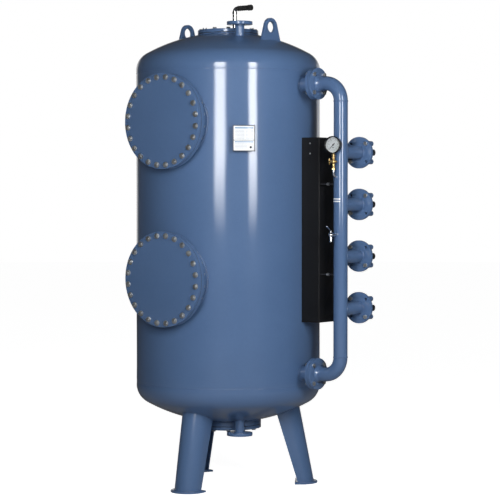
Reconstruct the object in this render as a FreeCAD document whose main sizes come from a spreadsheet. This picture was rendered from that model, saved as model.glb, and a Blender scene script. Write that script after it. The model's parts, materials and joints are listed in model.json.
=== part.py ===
import FreeCAD, Part
import math
import os
from types import SimpleNamespace

import Sketcher
from FreeCAD import Placement, Rotation, Vector

# Vertical steel pressure filter for sand.  Z is up, the tank's axis is the Z
# axis and the floor is z = 0.  The manways face -Y, the outside pipework stands
# at +X and its four valves open towards +Y.

# Driving dimensions in millimetres, with counts and angles in degrees.
DIMENSIONS = {
    # pressure vessel
    "shell_diameter": 1200.0,
    "shell_wall": 8.0,
    "low_seam": 668.0,
    "high_seam": 2672.0,
    "straight_flange": 20.0,
    "crown_radius": 1100.0,
    "knuckle_radius": 125.0,
    # legs, rolled to a U section, and their feet
    "leg_count": 3,
    "leg_azimuth": -85.0,
    "leg_lean": 11.0,
    "leg_floor_radius": 475.0,
    "leg_radius": 88.0,
    "leg_side": 14.0,
    "leg_side_taper": 6.0,
    "leg_depth": 90.0,
    "leg_wall": 8.0,
    "leg_stock": 640.0,
    "foot_rim": 23.0,
    "foot_thickness": 12.0,
    "anchor_hole": 22.0,
    "anchor_inset": 20.0,
    # lifting lugs
    "lug_distance": 368.0,
    "lug_azimuth": -5.3,
    "lug_thickness": 20.0,
    "lug_base": 175.0,
    "lug_height": 81.0,
    "lug_top_radius": 58.0,
    "lug_hole": 70.0,
    "lug_level": 2876.0,
    # manways
    "manway_high": 2345.0,
    "manway_low": 1355.0,
    "manway_reach": 685.0,
    "manway_neck": 508.0,
    "manway_neck_wall": 9.0,
    "manway_flange": 600.0,
    "manway_circle": 550.0,
    "manway_bolts": 24,
    "manway_flange_thickness": 28.0,
    "manway_cover_thickness": 26.0,
    "gasket_thickness": 3.0,
    # hand holes on the axis
    "top_pad_level": 2930.0,
    "top_pad_diameter": 395.0,
    "top_pad_circle": 350.0,
    "bottom_pad_level": 388.0,
    "bottom_pad_diameter": 430.0,
    "bottom_pad_circle": 380.0,
    "pad_depth": 36.0,
    "pad_bore": 290.0,
    "pad_cover_thickness": 22.0,
    "pad_bolts": 12,
    "pad_thread_depth": 18.0,
    # vent and drain nozzles in the heads
    "head_nozzle_distance": 275.0,
    "head_nozzle_azimuth": -37.0,
    "head_nozzle_pipe": 60.3,
    "head_nozzle_wall": 2.9,
    "head_nozzle_flange": 165.0,
    "head_nozzle_circle": 125.0,
    "head_nozzle_thickness": 20.0,
    "top_nozzle_level": 2990.0,
    "drain_nozzle_level": 340.0,
    # process nozzles, header and branches
    "inlet_level": 2585.0,
    "outlet_level": 752.0,
    "joint_reach": 700.0,
    "pipe_diameter": 88.9,
    "pipe_wall": 3.2,
    "flange_diameter": 200.0,
    "flange_circle": 160.0,
    "flange_bolts": 4,
    "flange_thickness": 20.0,
    "hub_diameter": 110.0,
    "hub_length": 22.0,
    "ring_gasket_thickness": 2.0,
    "bend_radius": 114.3,
    "header_reach": 887.0,
    "blank_level": 1660.0,
    "blank_thickness": 6.0,
    "lowest_branch": 1168.0,
    "branch_pitch": 328.0,
    "branch_count": 4,
    "branch_pipe": 82.5,
    "branch_wall": 3.0,
    "branch_reach": 200.0,
    "branch_flange_thickness": 18.0,
    # butterfly valves
    "valve_length": 46.0,
    "valve_ring": 132.0,
    "seat_outer": 92.0,
    "seat_bore": 81.0,
    "lug_boss": 17.0,
    "tapped_core": 14.0,
    "bolt_engagement": 16.0,
    "tapped_depth": 18.0,
    "stud_depth": 24.0,
    "disc_diameter": 80.0,
    "disc_thickness": 7.0,
    "stem_diameter": 14.0,
    "stem_clearance": 0.08,
    "stem_boss": 40.0,
    "stem_foot": 30.0,
    "disc_hub": 21.0,
    "disc_hub_length": 72.0,
    "stem_end": 70.0,
    "cap_diameter": 40.0,
    "cap_length": 22.0,
    "cap_gap": 0.5,
    # actuators and their cover
    "actuator_face": 722.0,
    "actuator_depth": 96.0,
    "actuator_width": 76.0,
    "actuator_height": 150.0,
    "actuator_bore": 52.0,
    "cover_root": 480.0,
    "cover_side": 735.0,
    "cover_front": -15.0,
    "cover_back": 296.0,
    "cover_low": 1077.0,
    "cover_high": 2247.0,
    "cover_sheet": 2.0,
    "cover_hole_gap": 4.0,
    "standoff_diameter": 10.0,
    "standoff_low": 1384.0,
    "standoff_high": 1952.0,
    # pressure gauge, cock and siphon
    "gauge_front": 80.0,
    "gauge_level": 2195.0,
    "gauge_turn": 10.0,
    "gauge_bezel": 110.0,
    "gauge_case": 101.0,
    "gauge_depth": 40.0,
    "gauge_wall": 3.0,
    "gauge_boss": 16.0,
    "bezel_depth": 9.0,
    "dial_depth": 14.0,
    "dial_thickness": 1.5,
    "glass_thickness": 2.5,
    "glass_inset": 3.0,
    "pointer_spindle": 4.0,
    "pointer_hub": 8.0,
    "pointer_hub_depth": 1.5,
    "pointer_gap": 1.0,
    "needle_width": 2.4,
    "needle_thickness": 0.8,
    "pointer_reach": 34.0,
    "pointer_tail": 14.0,
    "pointer_rest": -135.0,
    "cock_level": 2091.0,
    "cock_ball": 30.0,
    "cock_post": 18.0,
    "cock_nut": 25.0,
    "cock_nut_height": 22.0,
    "cock_nut_gap": 8.0,
    "cock_foot": 22.0,
    "cock_foot_height": 10.0,
    "cock_arm": 16.0,
    "cock_reach": 23.0,
    "cock_spindle": 8.0,
    "cock_spindle_depth": 15.0,
    "cock_knob": 19.0,
    "cock_knob_length": 14.0,
    "cock_bar": 5.6,
    "cock_bar_length": 40.0,
    "siphon_level": 1996.0,
    "siphon_tube": 14.0,
    "siphon_wall": 2.0,
    "siphon_bend": 30.0,
    # sampling tap
    "tap_level": 1637.0,
    "tap_front": 108.0,
    "tap_pipe": 20.0,
    "tap_chamber": 30.0,
    "tap_gland": 16.0,
    "tap_spindle_depth": 13.5,
    "tap_spout": 15.0,
    "tap_spout_bore": 9.0,
    "tap_spout_drop": 46.0,
    "tap_lip": 19.0,
    "tap_lip_height": 6.0,
    "tap_lever_length": 62.0,
    "tap_lever_width": 10.5,
    "tap_lever_thickness": 4.0,
    "tap_lever_rise": 3.2,
    "tap_cap": 12.8,
    "tap_cap_height": 7.2,
    "tap_lever_tilt": 36.0,
    # vent on the top cover
    "vent_offset": 54.0,
    "vent_pipe": 26.9,
    "vent_wall": 2.6,
    "vent_level": 3095.0,
    "vent_bend": 22.0,
    "vent_body": 27.0,
    "vent_rib": 34.0,
    "vent_length": 86.0,
    "vent_collar": 32.0,
    "vent_collar_height": 11.0,
    "vent_rib_width": 8.6,
    "vent_spindle_depth": 39.0,
    "vent_ribs": 5,
    "vent_knob": 38.0,
    "vent_knob_length": 30.0,
    "vent_gap": 0.5,
    # nameplate
    "plate_azimuth": -43.6,
    "plate_level": 2236.0,
    "plate_width": 129.0,
    "plate_height": 152.0,
    "plate_standoff": 30.0,
    "plate_border": 6.0,
    "plate_thickness": 1.5,
    "bracket_sheet": 3.0,
    # inside the vessel
    "floor_level": 880.0,
    "floor_thickness": 20.0,
    "strainer_rings": 4,
    "strainer_pitch": 128.0,
    "strainer_stem": 22.0,
    "strainer_cap": 44.0,
    "strainer_cap_height": 30.0,
    "gravel_top": 1100.0,
    "sand_top": 1900.0,
    "distributor_bell": 200.0,
    # hexagon fasteners: thread, key size, head, nut and clearance hole
    "large_thread": 20.0,
    "large_key": 30.0,
    "large_head": 12.5,
    "large_nut": 16.0,
    "large_hole": 22.0,
    "small_thread": 16.0,
    "small_key": 24.0,
    "small_head": 10.0,
    "small_nut": 13.0,
    "small_hole": 18.0,
    "bolt_overrun": 3.0,
}

doc = FreeCAD.newDocument("sand_filter")
sheet = doc.addObject("Spreadsheet::Sheet", "sheet")


class Size:
    """A number together with the sheet expression that gives it."""

    def __init__(self, number, text):
        self.number = number
        self.text = text

    def __add__(self, other):
        return Size(self.number + number(other), f"({self.text} + {text(other)})")

    def __radd__(self, other):
        return Size(number(other) + self.number, f"({text(other)} + {self.text})")

    def __sub__(self, other):
        return Size(self.number - number(other), f"({self.text} - {text(other)})")

    def __rsub__(self, other):
        return Size(number(other) - self.number, f"({text(other)} - {self.text})")

    def __mul__(self, other):
        return Size(self.number * number(other), f"({self.text} * {text(other)})")

    def __rmul__(self, other):
        return self * other

    def __truediv__(self, other):
        return Size(self.number / number(other), f"({self.text} / {text(other)})")

    def __neg__(self):
        return Size(-self.number, f"(0 - {self.text})")


def number(size):
    return size.number if isinstance(size, Size) else float(size)


def text(size):
    return size.text if isinstance(size, Size) else repr(float(size))


def root(size):
    return Size(math.sqrt(size.number), f"sqrt({size.text})")


def cosine(angle):
    return Size(math.cos(math.radians(number(angle))), f"cos({text(angle)})")


def sine(angle):
    return Size(math.sin(math.radians(number(angle))), f"sin({text(angle)})")


def fill_sheet():
    sizes = {}
    for row, (alias, value) in enumerate(DIMENSIONS.items(), start=1):
        sheet.set(f"A{row}", alias.replace("_", " "))
        sheet.set(f"B{row}", str(value))
        sheet.setAlias(f"B{row}", alias)
        sizes[alias] = Size(value, f"sheet.{alias}")
    doc.recompute()
    return SimpleNamespace(**sizes)


size = fill_sheet()

# Rotations that take a piece's own +Z to a direction of the tank.
TURNS = {
    "+z": Rotation(),
    "-z": Rotation(Vector(1, 0, 0), 180),
    "+x": Rotation(Vector(0, 1, 0), 90),
    "-x": Rotation(Vector(0, 1, 0), -90),
    "+y": Rotation(Vector(1, 0, 0), -90),
    "-y": Rotation(Vector(1, 0, 0), 90),
}
AXIS = (0, 0, 0)
sub_parts = {}


# ---------------------------------------------------------------- small tools

def bind(piece, **sizes):
    for name, value in sizes.items():
        if isinstance(value, Size):
            piece.setExpression(name, value.text)
        else:
            setattr(piece, name, value)


def put(piece, at, rotation):
    piece.Placement = Placement(Vector(*[number(place) for place in at]), rotation)
    for letter, place in zip("xyz", at):
        if isinstance(place, Size):
            piece.setExpression(f"Placement.Base.{letter}", place.text)
    return piece


def rod(name, diameter, length, at=AXIS, toward="+z"):
    piece = doc.addObject("Part::Cylinder", name)
    bind(piece, Radius=diameter / 2, Height=length)
    return put(piece, at, TURNS[toward])


def cone(name, first, last, length, at=AXIS, toward="+z"):
    piece = doc.addObject("Part::Cone", name)
    bind(piece, Radius1=first / 2, Radius2=last / 2, Height=length)
    return put(piece, at, TURNS[toward])


def ball(name, diameter, at=AXIS):
    piece = doc.addObject("Part::Sphere", name)
    bind(piece, Radius=diameter / 2)
    return put(piece, at, Rotation())


def block(name, length, width, height, at=AXIS):
    piece = doc.addObject("Part::Box", name)
    bind(piece, Length=length, Width=width, Height=height)
    return put(piece, at, Rotation())


def hexagon(name, key, height, at=AXIS, toward="+z"):
    piece = doc.addObject("Part::Prism", name)
    bind(piece, Polygon=6, Circumradius=key / math.sqrt(3), Height=height)
    return put(piece, at, TURNS[toward])


def quarter_bend(name, diameter, radius, at=AXIS, toward="-y"):
    piece = doc.addObject("Part::Torus", name)
    bind(piece, Radius1=radius, Radius2=diameter / 2, Angle3=90)
    return put(piece, at, TURNS[toward])


def cut(name, base, *tools):
    for order, tool in enumerate(tools, start=1):
        result = doc.addObject("Part::Cut", f"{name}_{order}")
        result.Base = base
        result.Tool = tool
        base = result
    return base


def fuse(name, *pieces):
    result = doc.addObject("Part::MultiFuse", name)
    result.Shapes = list(pieces)
    return result


def group(name, *pieces):
    """Several identical pieces that share one sub-part."""
    result = doc.addObject("Part::Compound", name)
    result.Links = list(pieces)
    return result


def tube(name, outer, inner, length, at=AXIS, toward="+z"):
    bore = rod(f"{name}_bore", inner, length, at, toward)
    return cut(name, rod(f"{name}_stock", outer, length, at, toward), bore)


def sub_part(node, piece):
    piece.Label = node
    sub_parts[node] = piece
    return piece


def even_angles(count, first):
    return [first + 360.0 * turn / count for turn in range(count)]


def copies(name, master, places):
    """Copies of one shape, each at its own placement, as separate solids."""
    doc.recompute()
    solids = []
    for place in places:
        solid = master.Shape.copy()
        solid.Placement = place.multiply(solid.Placement)
        solids.append(solid)
    result = doc.addObject("Part::Feature", name)
    result.Shape = Part.makeCompound(solids)
    return result


def circle_places(circle, angles, at, toward):
    """Placements round a bolt circle that faces a direction."""
    centre = Placement(Vector(*[number(place) for place in at]), TURNS[toward])
    places = []
    for angle in angles:
        spoke = Rotation(Vector(0, 0, 1), angle).multVec(Vector(number(circle) / 2, 0, 0))
        places.append(centre.multiply(Placement(spoke, Rotation())))
    return places


# ------------------------------------------------------------------- sketches

def sketched_body(name, plane):
    body = doc.addObject("PartDesign::Body", name)
    sketch = body.newObject("Sketcher::SketchObject", f"{name}_sketch")
    origin = [feature for feature in body.Origin.OriginFeatures if feature.Role == plane]
    sketch.AttachmentSupport = (origin[0], [""])
    sketch.MapMode = "FlatFace"
    return body, sketch


def pin_down(sketch, edge, end, corner):
    """Fix one end of an edge at a corner given by two sizes."""
    for kind, guide, place in zip(("DistanceX", "DistanceY"), (-2, -1), corner):
        if isinstance(place, Size):
            fixed = Sketcher.Constraint(kind, -1, 1, edge, end, place.number)
            index = sketch.addConstraint(fixed)
            sketch.setExpression(f"Constraints[{index}]", place.text)
        else:
            sketch.addConstraint(Sketcher.Constraint("PointOnObject", edge, end, guide))


def outline(sketch, corners, arcs):
    """Closed outline.  arcs maps a side's number to its centre and radius."""
    flat = [Vector(number(across), number(up), 0) for across, up in corners]
    ends = []
    for side, start in enumerate(flat):
        stop = flat[(side + 1) % len(flat)]
        if side in arcs:
            centre, radius = arcs[side]
            middle = Vector(number(centre[0]), number(centre[1]), 0)
            circle = Part.Circle(middle, Vector(0, 0, 1), number(radius))
            first = math.atan2(start.y - middle.y, start.x - middle.x)
            last = math.atan2(stop.y - middle.y, stop.x - middle.x)
            edge = sketch.addGeometry(Part.ArcOfCircle(circle, first, last))
            index = sketch.addConstraint(Sketcher.Constraint("Radius", edge, number(radius)))
            sketch.setExpression(f"Constraints[{index}]", text(radius))
        else:
            edge = sketch.addGeometry(Part.LineSegment(start, stop))
        ends.append(edge)
    for side, edge in enumerate(ends):
        following = ends[(side + 1) % len(ends)]
        sketch.addConstraint(Sketcher.Constraint("Coincident", edge, 2, following, 1))
        pin_down(sketch, edge, 1, corners[side])


def dome(name, level, toward, inset=0.0):
    """A torispherical head filled solid, its outside moved in by inset."""
    body, sketch = sketched_body(name, "XZ_Plane")
    shell_radius = size.shell_diameter / 2
    knuckle_centre = shell_radius - size.knuckle_radius
    lean = knuckle_centre / (size.crown_radius - size.knuckle_radius)
    rise = root(1 - lean * lean)
    knuckle = size.knuckle_radius - inset
    crown = size.crown_radius - inset
    crown_centre = size.straight_flange - (size.crown_radius - size.knuckle_radius) * rise
    corners = [
        (0, 0),
        (shell_radius - inset, 0),
        (shell_radius - inset, size.straight_flange),
        (knuckle_centre + knuckle * lean, size.straight_flange + knuckle * rise),
        (0, crown_centre + crown),
    ]
    arcs = {
        2: ((knuckle_centre, size.straight_flange), knuckle),
        3: ((0, crown_centre), crown),
    }
    outline(sketch, corners, arcs)
    turned = body.newObject("PartDesign::Revolution", f"{name}_turned")
    turned.Profile = sketch
    turned.ReferenceAxis = (sketch, ["V_Axis"])
    turned.Angle = 360
    return put(body, (0, 0, level), TURNS[toward])


# ---------------------------------------------------------------- fastenings

def bolt(name, thread, key, head, length):
    """A hexagon bolt along +Z: its head ends at z = 0 and its shank goes up."""
    shank = rod(f"{name}_shank", thread, length)
    return fuse(name, hexagon(f"{name}_head", key, head, (0, 0, -head)), shank)


def nut(name, thread, key, height):
    return cut(name, hexagon(f"{name}_blank", key, height), rod(f"{name}_thread", thread, height))


def drilled(name, piece, hole, depth, circle, angles, at, toward):
    """Holes round a bolt circle, from a face into a piece."""
    drill = rod(f"{name}_drill", hole, depth)
    holes = copies(f"{name}_holes", drill, circle_places(circle, angles, at, toward))
    return cut(f"{name}_drilled", piece, holes)


# ------------------------------------------------------------ pressure vessel

inner_diameter = size.shell_diameter - 2 * size.shell_wall
shell_length = size.high_seam - size.low_seam
shell_stock = rod("shell_stock", size.shell_diameter, shell_length, (0, 0, size.low_seam))
shell_inside = rod("shell_inside", inner_diameter, shell_length, (0, 0, size.low_seam))
top_dome = dome("top_dome", size.high_seam, "+z")
top_hollow = dome("top_hollow", size.high_seam, "+z", size.shell_wall)
bottom_dome = dome("bottom_dome", size.low_seam, "-z")
bottom_hollow = dome("bottom_hollow", size.low_seam, "-z", size.shell_wall)

# -------------------------------------------------------------------- manways

large_bolt_grip = (
    size.manway_cover_thickness + size.gasket_thickness + size.manway_flange_thickness
)
large_bolt = bolt(
    "large_bolt", size.large_thread, size.large_key, size.large_head,
    large_bolt_grip + size.large_nut + size.bolt_overrun,
)
large_nut = nut("large_nut", size.large_thread, size.large_key, size.large_nut)
manway_angles = even_angles(int(size.manway_bolts.number), 180.0 / size.manway_bolts.number)
flange_back = size.manway_reach - large_bolt_grip
flange_front = flange_back + size.manway_flange_thickness
cover_back = flange_front + size.gasket_thickness
manway_bore = size.manway_neck - 2 * size.manway_neck_wall
manway_openings = []
manway_gaskets = []
bolt_places = []
nut_places = []


def manway_ring(name, level, outer, thickness, back, bore=None):
    """A drilled disc or ring of the manway stack, facing -Y."""
    at = (0, -back, level)
    piece = rod(name, outer, thickness, at, "-y")
    if bore is not None:
        piece = cut(f"{name}_bored", piece, rod(f"{name}_bore", bore, thickness, at, "-y"))
    return drilled(
        name, piece, size.large_hole, thickness, size.manway_circle, manway_angles, at, "-y"
    )


def manway(label, level):
    opening = rod(f"{label}_opening", size.manway_neck, flange_back, (0, 0, level), "-y")
    manway_openings.append(opening)
    pipe = rod(f"{label}_pipe", size.manway_neck, flange_back, (0, 0, level), "-y")
    flange = manway_ring(
        f"{label}_flange", level, size.manway_flange, size.manway_flange_thickness, flange_back
    )
    bore = rod(f"{label}_bore", manway_bore, flange_front, (0, 0, level), "-y")
    neck = cut(f"{label}_neck", fuse(f"{label}_weld", pipe, flange), bore, shell_inside)
    sub_part(f"{label}_neck", neck)
    manway_gaskets.append(manway_ring(
        f"{label}_seal", level, size.manway_flange, size.gasket_thickness, flange_front,
        manway_bore,
    ))
    sub_part(f"{label}_cover", manway_ring(
        f"{label}_lid", level, size.manway_flange, size.manway_cover_thickness, cover_back
    ))
    front = (0, -size.manway_reach, level)
    bolt_places.extend(circle_places(size.manway_circle, manway_angles, front, "+y"))
    back = (0, -flange_back, level)
    nut_places.extend(circle_places(size.manway_circle, manway_angles, back, "+y"))


manway("upper_manway", size.manway_high)
manway("lower_manway", size.manway_low)
sub_part("manway_gaskets", group("manway_seals", *manway_gaskets))
sub_part("manway_bolts", copies("manway_bolt_set", large_bolt, bolt_places))
sub_part("manway_nuts", copies("manway_nut_set", large_nut, nut_places))

# ----------------------------------------------------------- process pipework

pipe_bore = size.pipe_diameter - 2 * size.pipe_wall
flange_angles = even_angles(int(size.flange_bolts.number), 180.0 / size.flange_bolts.number)
half_gasket = size.ring_gasket_thickness / 2
nozzle_face = size.joint_reach - half_gasket
elbow_face = size.joint_reach + half_gasket
bend_start = size.header_reach - size.bend_radius
nozzle_openings = []
nozzles = []
ring_gaskets = []
small_bolt_places = []
small_nut_places = []
small_bolt = bolt(
    "small_bolt", size.small_thread, size.small_key, size.small_head,
    2 * size.flange_thickness + size.ring_gasket_thickness + size.small_nut + size.bolt_overrun,
)
small_nut = nut("small_nut", size.small_thread, size.small_key, size.small_nut)
header_solid = rod(
    "header_solid", size.pipe_diameter, size.inlet_level - size.outlet_level,
    (size.header_reach, 0, size.outlet_level),
)


def shell_nozzle(label, level):
    at = (0, 0, level)
    opening = rod(f"{label}_opening", size.pipe_diameter, nozzle_face, at, "+x")
    nozzle_openings.append(opening)
    back = (nozzle_face - size.flange_thickness, 0, level)
    neck = rod(f"{label}_pipe", size.pipe_diameter, nozzle_face, at, "+x")
    flange = rod(f"{label}_flange", size.flange_diameter, size.flange_thickness, back, "+x")
    welded = fuse(f"{label}_weld", neck, flange)
    bore = rod(f"{label}_bore", pipe_bore, nozzle_face, at, "+x")
    hollow = cut(f"{label}_hollow", welded, bore, shell_inside)
    nozzles.append(drilled(
        label, hollow, size.small_hole, size.flange_thickness, size.flange_circle,
        flange_angles, back, "+x",
    ))
    seal_at = (nozzle_face, 0, level)
    ring_gaskets.append(tube(
        f"{label}_gasket", size.flange_circle - size.small_thread, pipe_bore,
        size.ring_gasket_thickness, seal_at, "+x",
    ))
    small_nut_places.extend(circle_places(size.flange_circle, flange_angles, back, "-x"))


def header_elbow(label, level, turn, side):
    """A welding-neck flange with the quarter bend that leads to the header."""
    bend_at = (bend_start, 0, level + side * size.bend_radius)
    straight = bend_start - elbow_face
    face = (elbow_face, 0, level)
    hub_at = (elbow_face + size.flange_thickness, 0, level)
    stock = fuse(
        f"{label}_stock",
        rod(f"{label}_flange", size.flange_diameter, size.flange_thickness, face, "+x"),
        cone(f"{label}_hub", size.hub_diameter, size.pipe_diameter, size.hub_length, hub_at, "+x"),
        rod(f"{label}_pipe", size.pipe_diameter, straight, face, "+x"),
        quarter_bend(f"{label}_bend", size.pipe_diameter, size.bend_radius, bend_at, turn),
    )
    bore = fuse(
        f"{label}_bore",
        rod(f"{label}_pipe_bore", pipe_bore, straight, face, "+x"),
        quarter_bend(f"{label}_bend_bore", pipe_bore, size.bend_radius, bend_at, turn),
    )
    sub_part(label, drilled(
        label, cut(f"{label}_hollow", stock, bore), size.small_hole, size.flange_thickness,
        size.flange_circle, flange_angles, face, "+x",
    ))
    small_bolt_places.extend(circle_places(size.flange_circle, flange_angles, hub_at, "-x"))


shell_nozzle("inlet", size.inlet_level)
shell_nozzle("outlet", size.outlet_level)
header_elbow("upper_elbow", size.inlet_level, "-y", -1)
header_elbow("lower_elbow", size.outlet_level, "+y", 1)
sub_part("shell_nozzles", group("nozzle_pair", *nozzles))
sub_part("nozzle_gaskets", group("gasket_pair", *ring_gaskets))

# ------------------------------------------------------- branches and valves

branch_levels = [
    size.lowest_branch + order * size.branch_pitch
    for order in range(int(size.branch_count.number))
]
branch_bore = size.branch_pipe - 2 * size.branch_wall
valve_front = size.branch_reach + size.branch_flange_thickness
valve_centre = valve_front + size.valve_length / 2
neck_end = size.header_reach - size.actuator_face
stem_bore = size.stem_diameter + 2 * size.stem_clearance
# The bolt's threaded end fills the tapped hole's core, which stands for the thread.
branch_bolt = fuse(
    "branch_bolt",
    bolt(
        "branch_bolt_top", size.small_thread, size.small_key, size.small_head,
        size.branch_flange_thickness,
    ),
    rod(
        "branch_bolt_tip", size.tapped_core,
        size.branch_flange_thickness + size.bolt_engagement,
    ),
)
branch_bolt_places = []
stubs = []
valve_bodies = []
valve_seats = []
actuators = []
header_taps = []
cover_holes = []


def branch_stub(label, level):
    start = (size.header_reach, 0, level)
    face = (size.header_reach, size.branch_reach, level)
    length = size.branch_reach + size.branch_flange_thickness
    thick = size.branch_flange_thickness
    pipe = rod(f"{label}_pipe", size.branch_pipe, length, start, "+y")
    flange = rod(f"{label}_flange", size.flange_diameter, thick, face, "+y")
    bore = rod(f"{label}_bore", branch_bore, length, start, "+y")
    welded = cut(f"{label}_hollow", fuse(f"{label}_weld", pipe, flange), header_solid, bore)
    stubs.append(drilled(
        label, welded, size.small_hole, thick, size.flange_circle, flange_angles, face, "+y"
    ))
    header_taps.append(rod(f"{label}_tap", branch_bore, size.branch_reach, start, "+y"))


def valve_body(label, level):
    """A lug-type ring with four threaded bosses and a stem boss each side."""
    face = (size.header_reach, valve_front, level)
    middle = (size.header_reach, valve_centre, level)
    boss = rod(f"{label}_boss", 2 * size.lug_boss, size.valve_length)
    bosses = copies(
        f"{label}_bosses", boss, circle_places(size.flange_circle, flange_angles, face, "+y")
    )
    stock = fuse(
        f"{label}_stock",
        rod(f"{label}_ring", size.valve_ring, size.valve_length, face, "+y"),
        rod(f"{label}_neck", size.stem_boss, neck_end, middle, "-x"),
        rod(f"{label}_foot", size.stem_foot, size.stem_end, middle, "+x"),
        bosses,
    )
    bored = cut(
        f"{label}_bored", stock,
        rod(f"{label}_bore", size.seat_outer, size.valve_length, face, "+y"),
        rod(f"{label}_neck_bore", stem_bore, neck_end, middle, "-x"),
        rod(f"{label}_foot_bore", stem_bore, size.stem_end, middle, "+x"),
    )
    # Each lug is tapped from both faces, with a web left between the two holes.
    tapped = drilled(
        f"{label}_tapped", bored, size.tapped_core, size.tapped_depth, size.flange_circle,
        flange_angles, face, "+y",
    )
    outlet_face = (size.header_reach, valve_front + size.valve_length, level)
    valve_bodies.append(drilled(
        label, tapped, size.small_thread, size.stud_depth, size.flange_circle,
        flange_angles, outlet_face, "-y",
    ))
    seat = tube(
        f"{label}_seat", size.seat_outer, size.seat_bore, size.valve_length, face, "+y"
    )
    seat_hole = (size.header_reach - size.seat_outer / 2, valve_centre, level)
    valve_seats.append(cut(
        f"{label}_seat_bored", seat,
        rod(f"{label}_seat_hole", stem_bore, size.seat_outer, seat_hole, "+x"),
    ))


def valve_disc(label, level):
    """The closing disc on its stem, with the cap on the stem's free end."""
    disc_face = (size.header_reach, valve_centre - size.disc_thickness / 2, level)
    stem_start = size.actuator_face - size.actuator_bore
    cap_start = size.header_reach + size.stem_end + size.cap_gap
    stem_length = cap_start + size.cap_length / 2 - stem_start
    sub_part(label, fuse(
        f"{label}_fused",
        rod(f"{label}_disc", size.disc_diameter, size.disc_thickness, disc_face, "+y"),
        rod(f"{label}_hub", size.disc_hub, size.disc_hub_length,
            (size.header_reach - size.disc_hub_length / 2, valve_centre, level), "+x"),
        rod(f"{label}_stem", size.stem_diameter, stem_length,
            (stem_start, valve_centre, level), "+x"),
        rod(f"{label}_cap", size.cap_diameter, size.cap_length,
            (cap_start, valve_centre, level), "+x"),
    ))


def actuator(label, level):
    face = (size.actuator_face, valve_centre, level)
    low = level - size.actuator_height / 2
    across = valve_centre - size.actuator_width / 2
    back = size.actuator_face - size.actuator_depth
    case = block(
        f"{label}_case", size.actuator_depth, size.actuator_width, size.actuator_height,
        (back, across, low),
    )
    bore = rod(f"{label}_bore", stem_bore, size.actuator_bore, face, "-x")
    actuators.append(cut(label, case, bore))
    hole = size.stem_boss + 2 * size.cover_hole_gap
    at = (size.actuator_face, valve_centre, level)
    cover_holes.append(rod(f"{label}_hole", hole, size.stem_end, at, "+x"))


for order, level in enumerate(branch_levels, start=1):
    branch_stub(f"stub_{order}", level)
    valve_body(f"body_{order}", level)
    valve_disc(f"valve_disc_{order}", level)
    actuator(f"actuator_{order}", level)
    # Two of the four holes carry a bolt: the pair changes at mid height.
    first = 45.0 if order > len(branch_levels) / 2 else 135.0
    branch_face = (size.header_reach, size.branch_reach, level)
    branch_bolt_places.extend(circle_places(
        size.flange_circle, [-first, 180.0 - first], branch_face, "+y"
    ))

sub_part("branch_stubs", group("stub_set", *stubs))
sub_part("valve_bodies", group("body_set", *valve_bodies))
sub_part("valve_seats", group("seat_set", *valve_seats))
sub_part("actuators", group("actuator_set", *actuators))
long_bolts = copies("long_bolts", small_bolt, small_bolt_places)
short_bolts = copies("short_bolts", branch_bolt, branch_bolt_places)
sub_part("flange_bolts", group("flange_bolt_set", long_bolts, short_bolts))
sub_part("flange_nuts", copies("flange_nut_set", small_nut, small_nut_places))

header_low = size.outlet_level + size.bend_radius
header_length = size.inlet_level - size.bend_radius - header_low
header_at = (size.header_reach, 0, header_low)
header = tube("header", size.pipe_diameter, pipe_bore, header_length, header_at)
blank_at = (size.header_reach, 0, size.blank_level)
sub_part("header_blank", rod("blank", pipe_bore, size.blank_thickness, blank_at))

# ------------------------------------------------------------ actuator cover

def cover_box(name, inset=0.0):
    start = size.cover_root
    return block(
        name, size.cover_side - inset - start,
        size.cover_back - size.cover_front - 2 * inset,
        size.cover_high - size.cover_low - 2 * inset,
        (start, size.cover_front + inset, size.cover_low + inset),
    )


sub_part("valve_cover", cut(
    "cover", cover_box("cover_outside"),
    cover_box("cover_inside", size.cover_sheet), shell_stock, *cover_holes,
))
standoffs = []
for order, level in enumerate((size.standoff_low, size.standoff_high), start=1):
    bar = rod(
        f"standoff_bar_{order}", size.standoff_diameter, size.header_reach - size.cover_side,
        (size.cover_side, 0, level), "+x",
    )
    standoffs.append(cut(f"standoff_{order}", bar, header_solid))
sub_part("cover_standoffs", group("standoff_pair", *standoffs))

# ------------------------------------------------- gauge, cock and siphon

gauge_foot = size.gauge_level - size.gauge_bezel / 2


def faced(piece):
    """Move a gauge piece from the gauge's own frame to its place."""
    put(piece, (size.header_reach, -size.gauge_front, size.gauge_level), Rotation())
    piece.Placement.Rotation = Rotation(Vector(0, 0, 1), size.gauge_turn.number)
    return piece


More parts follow.
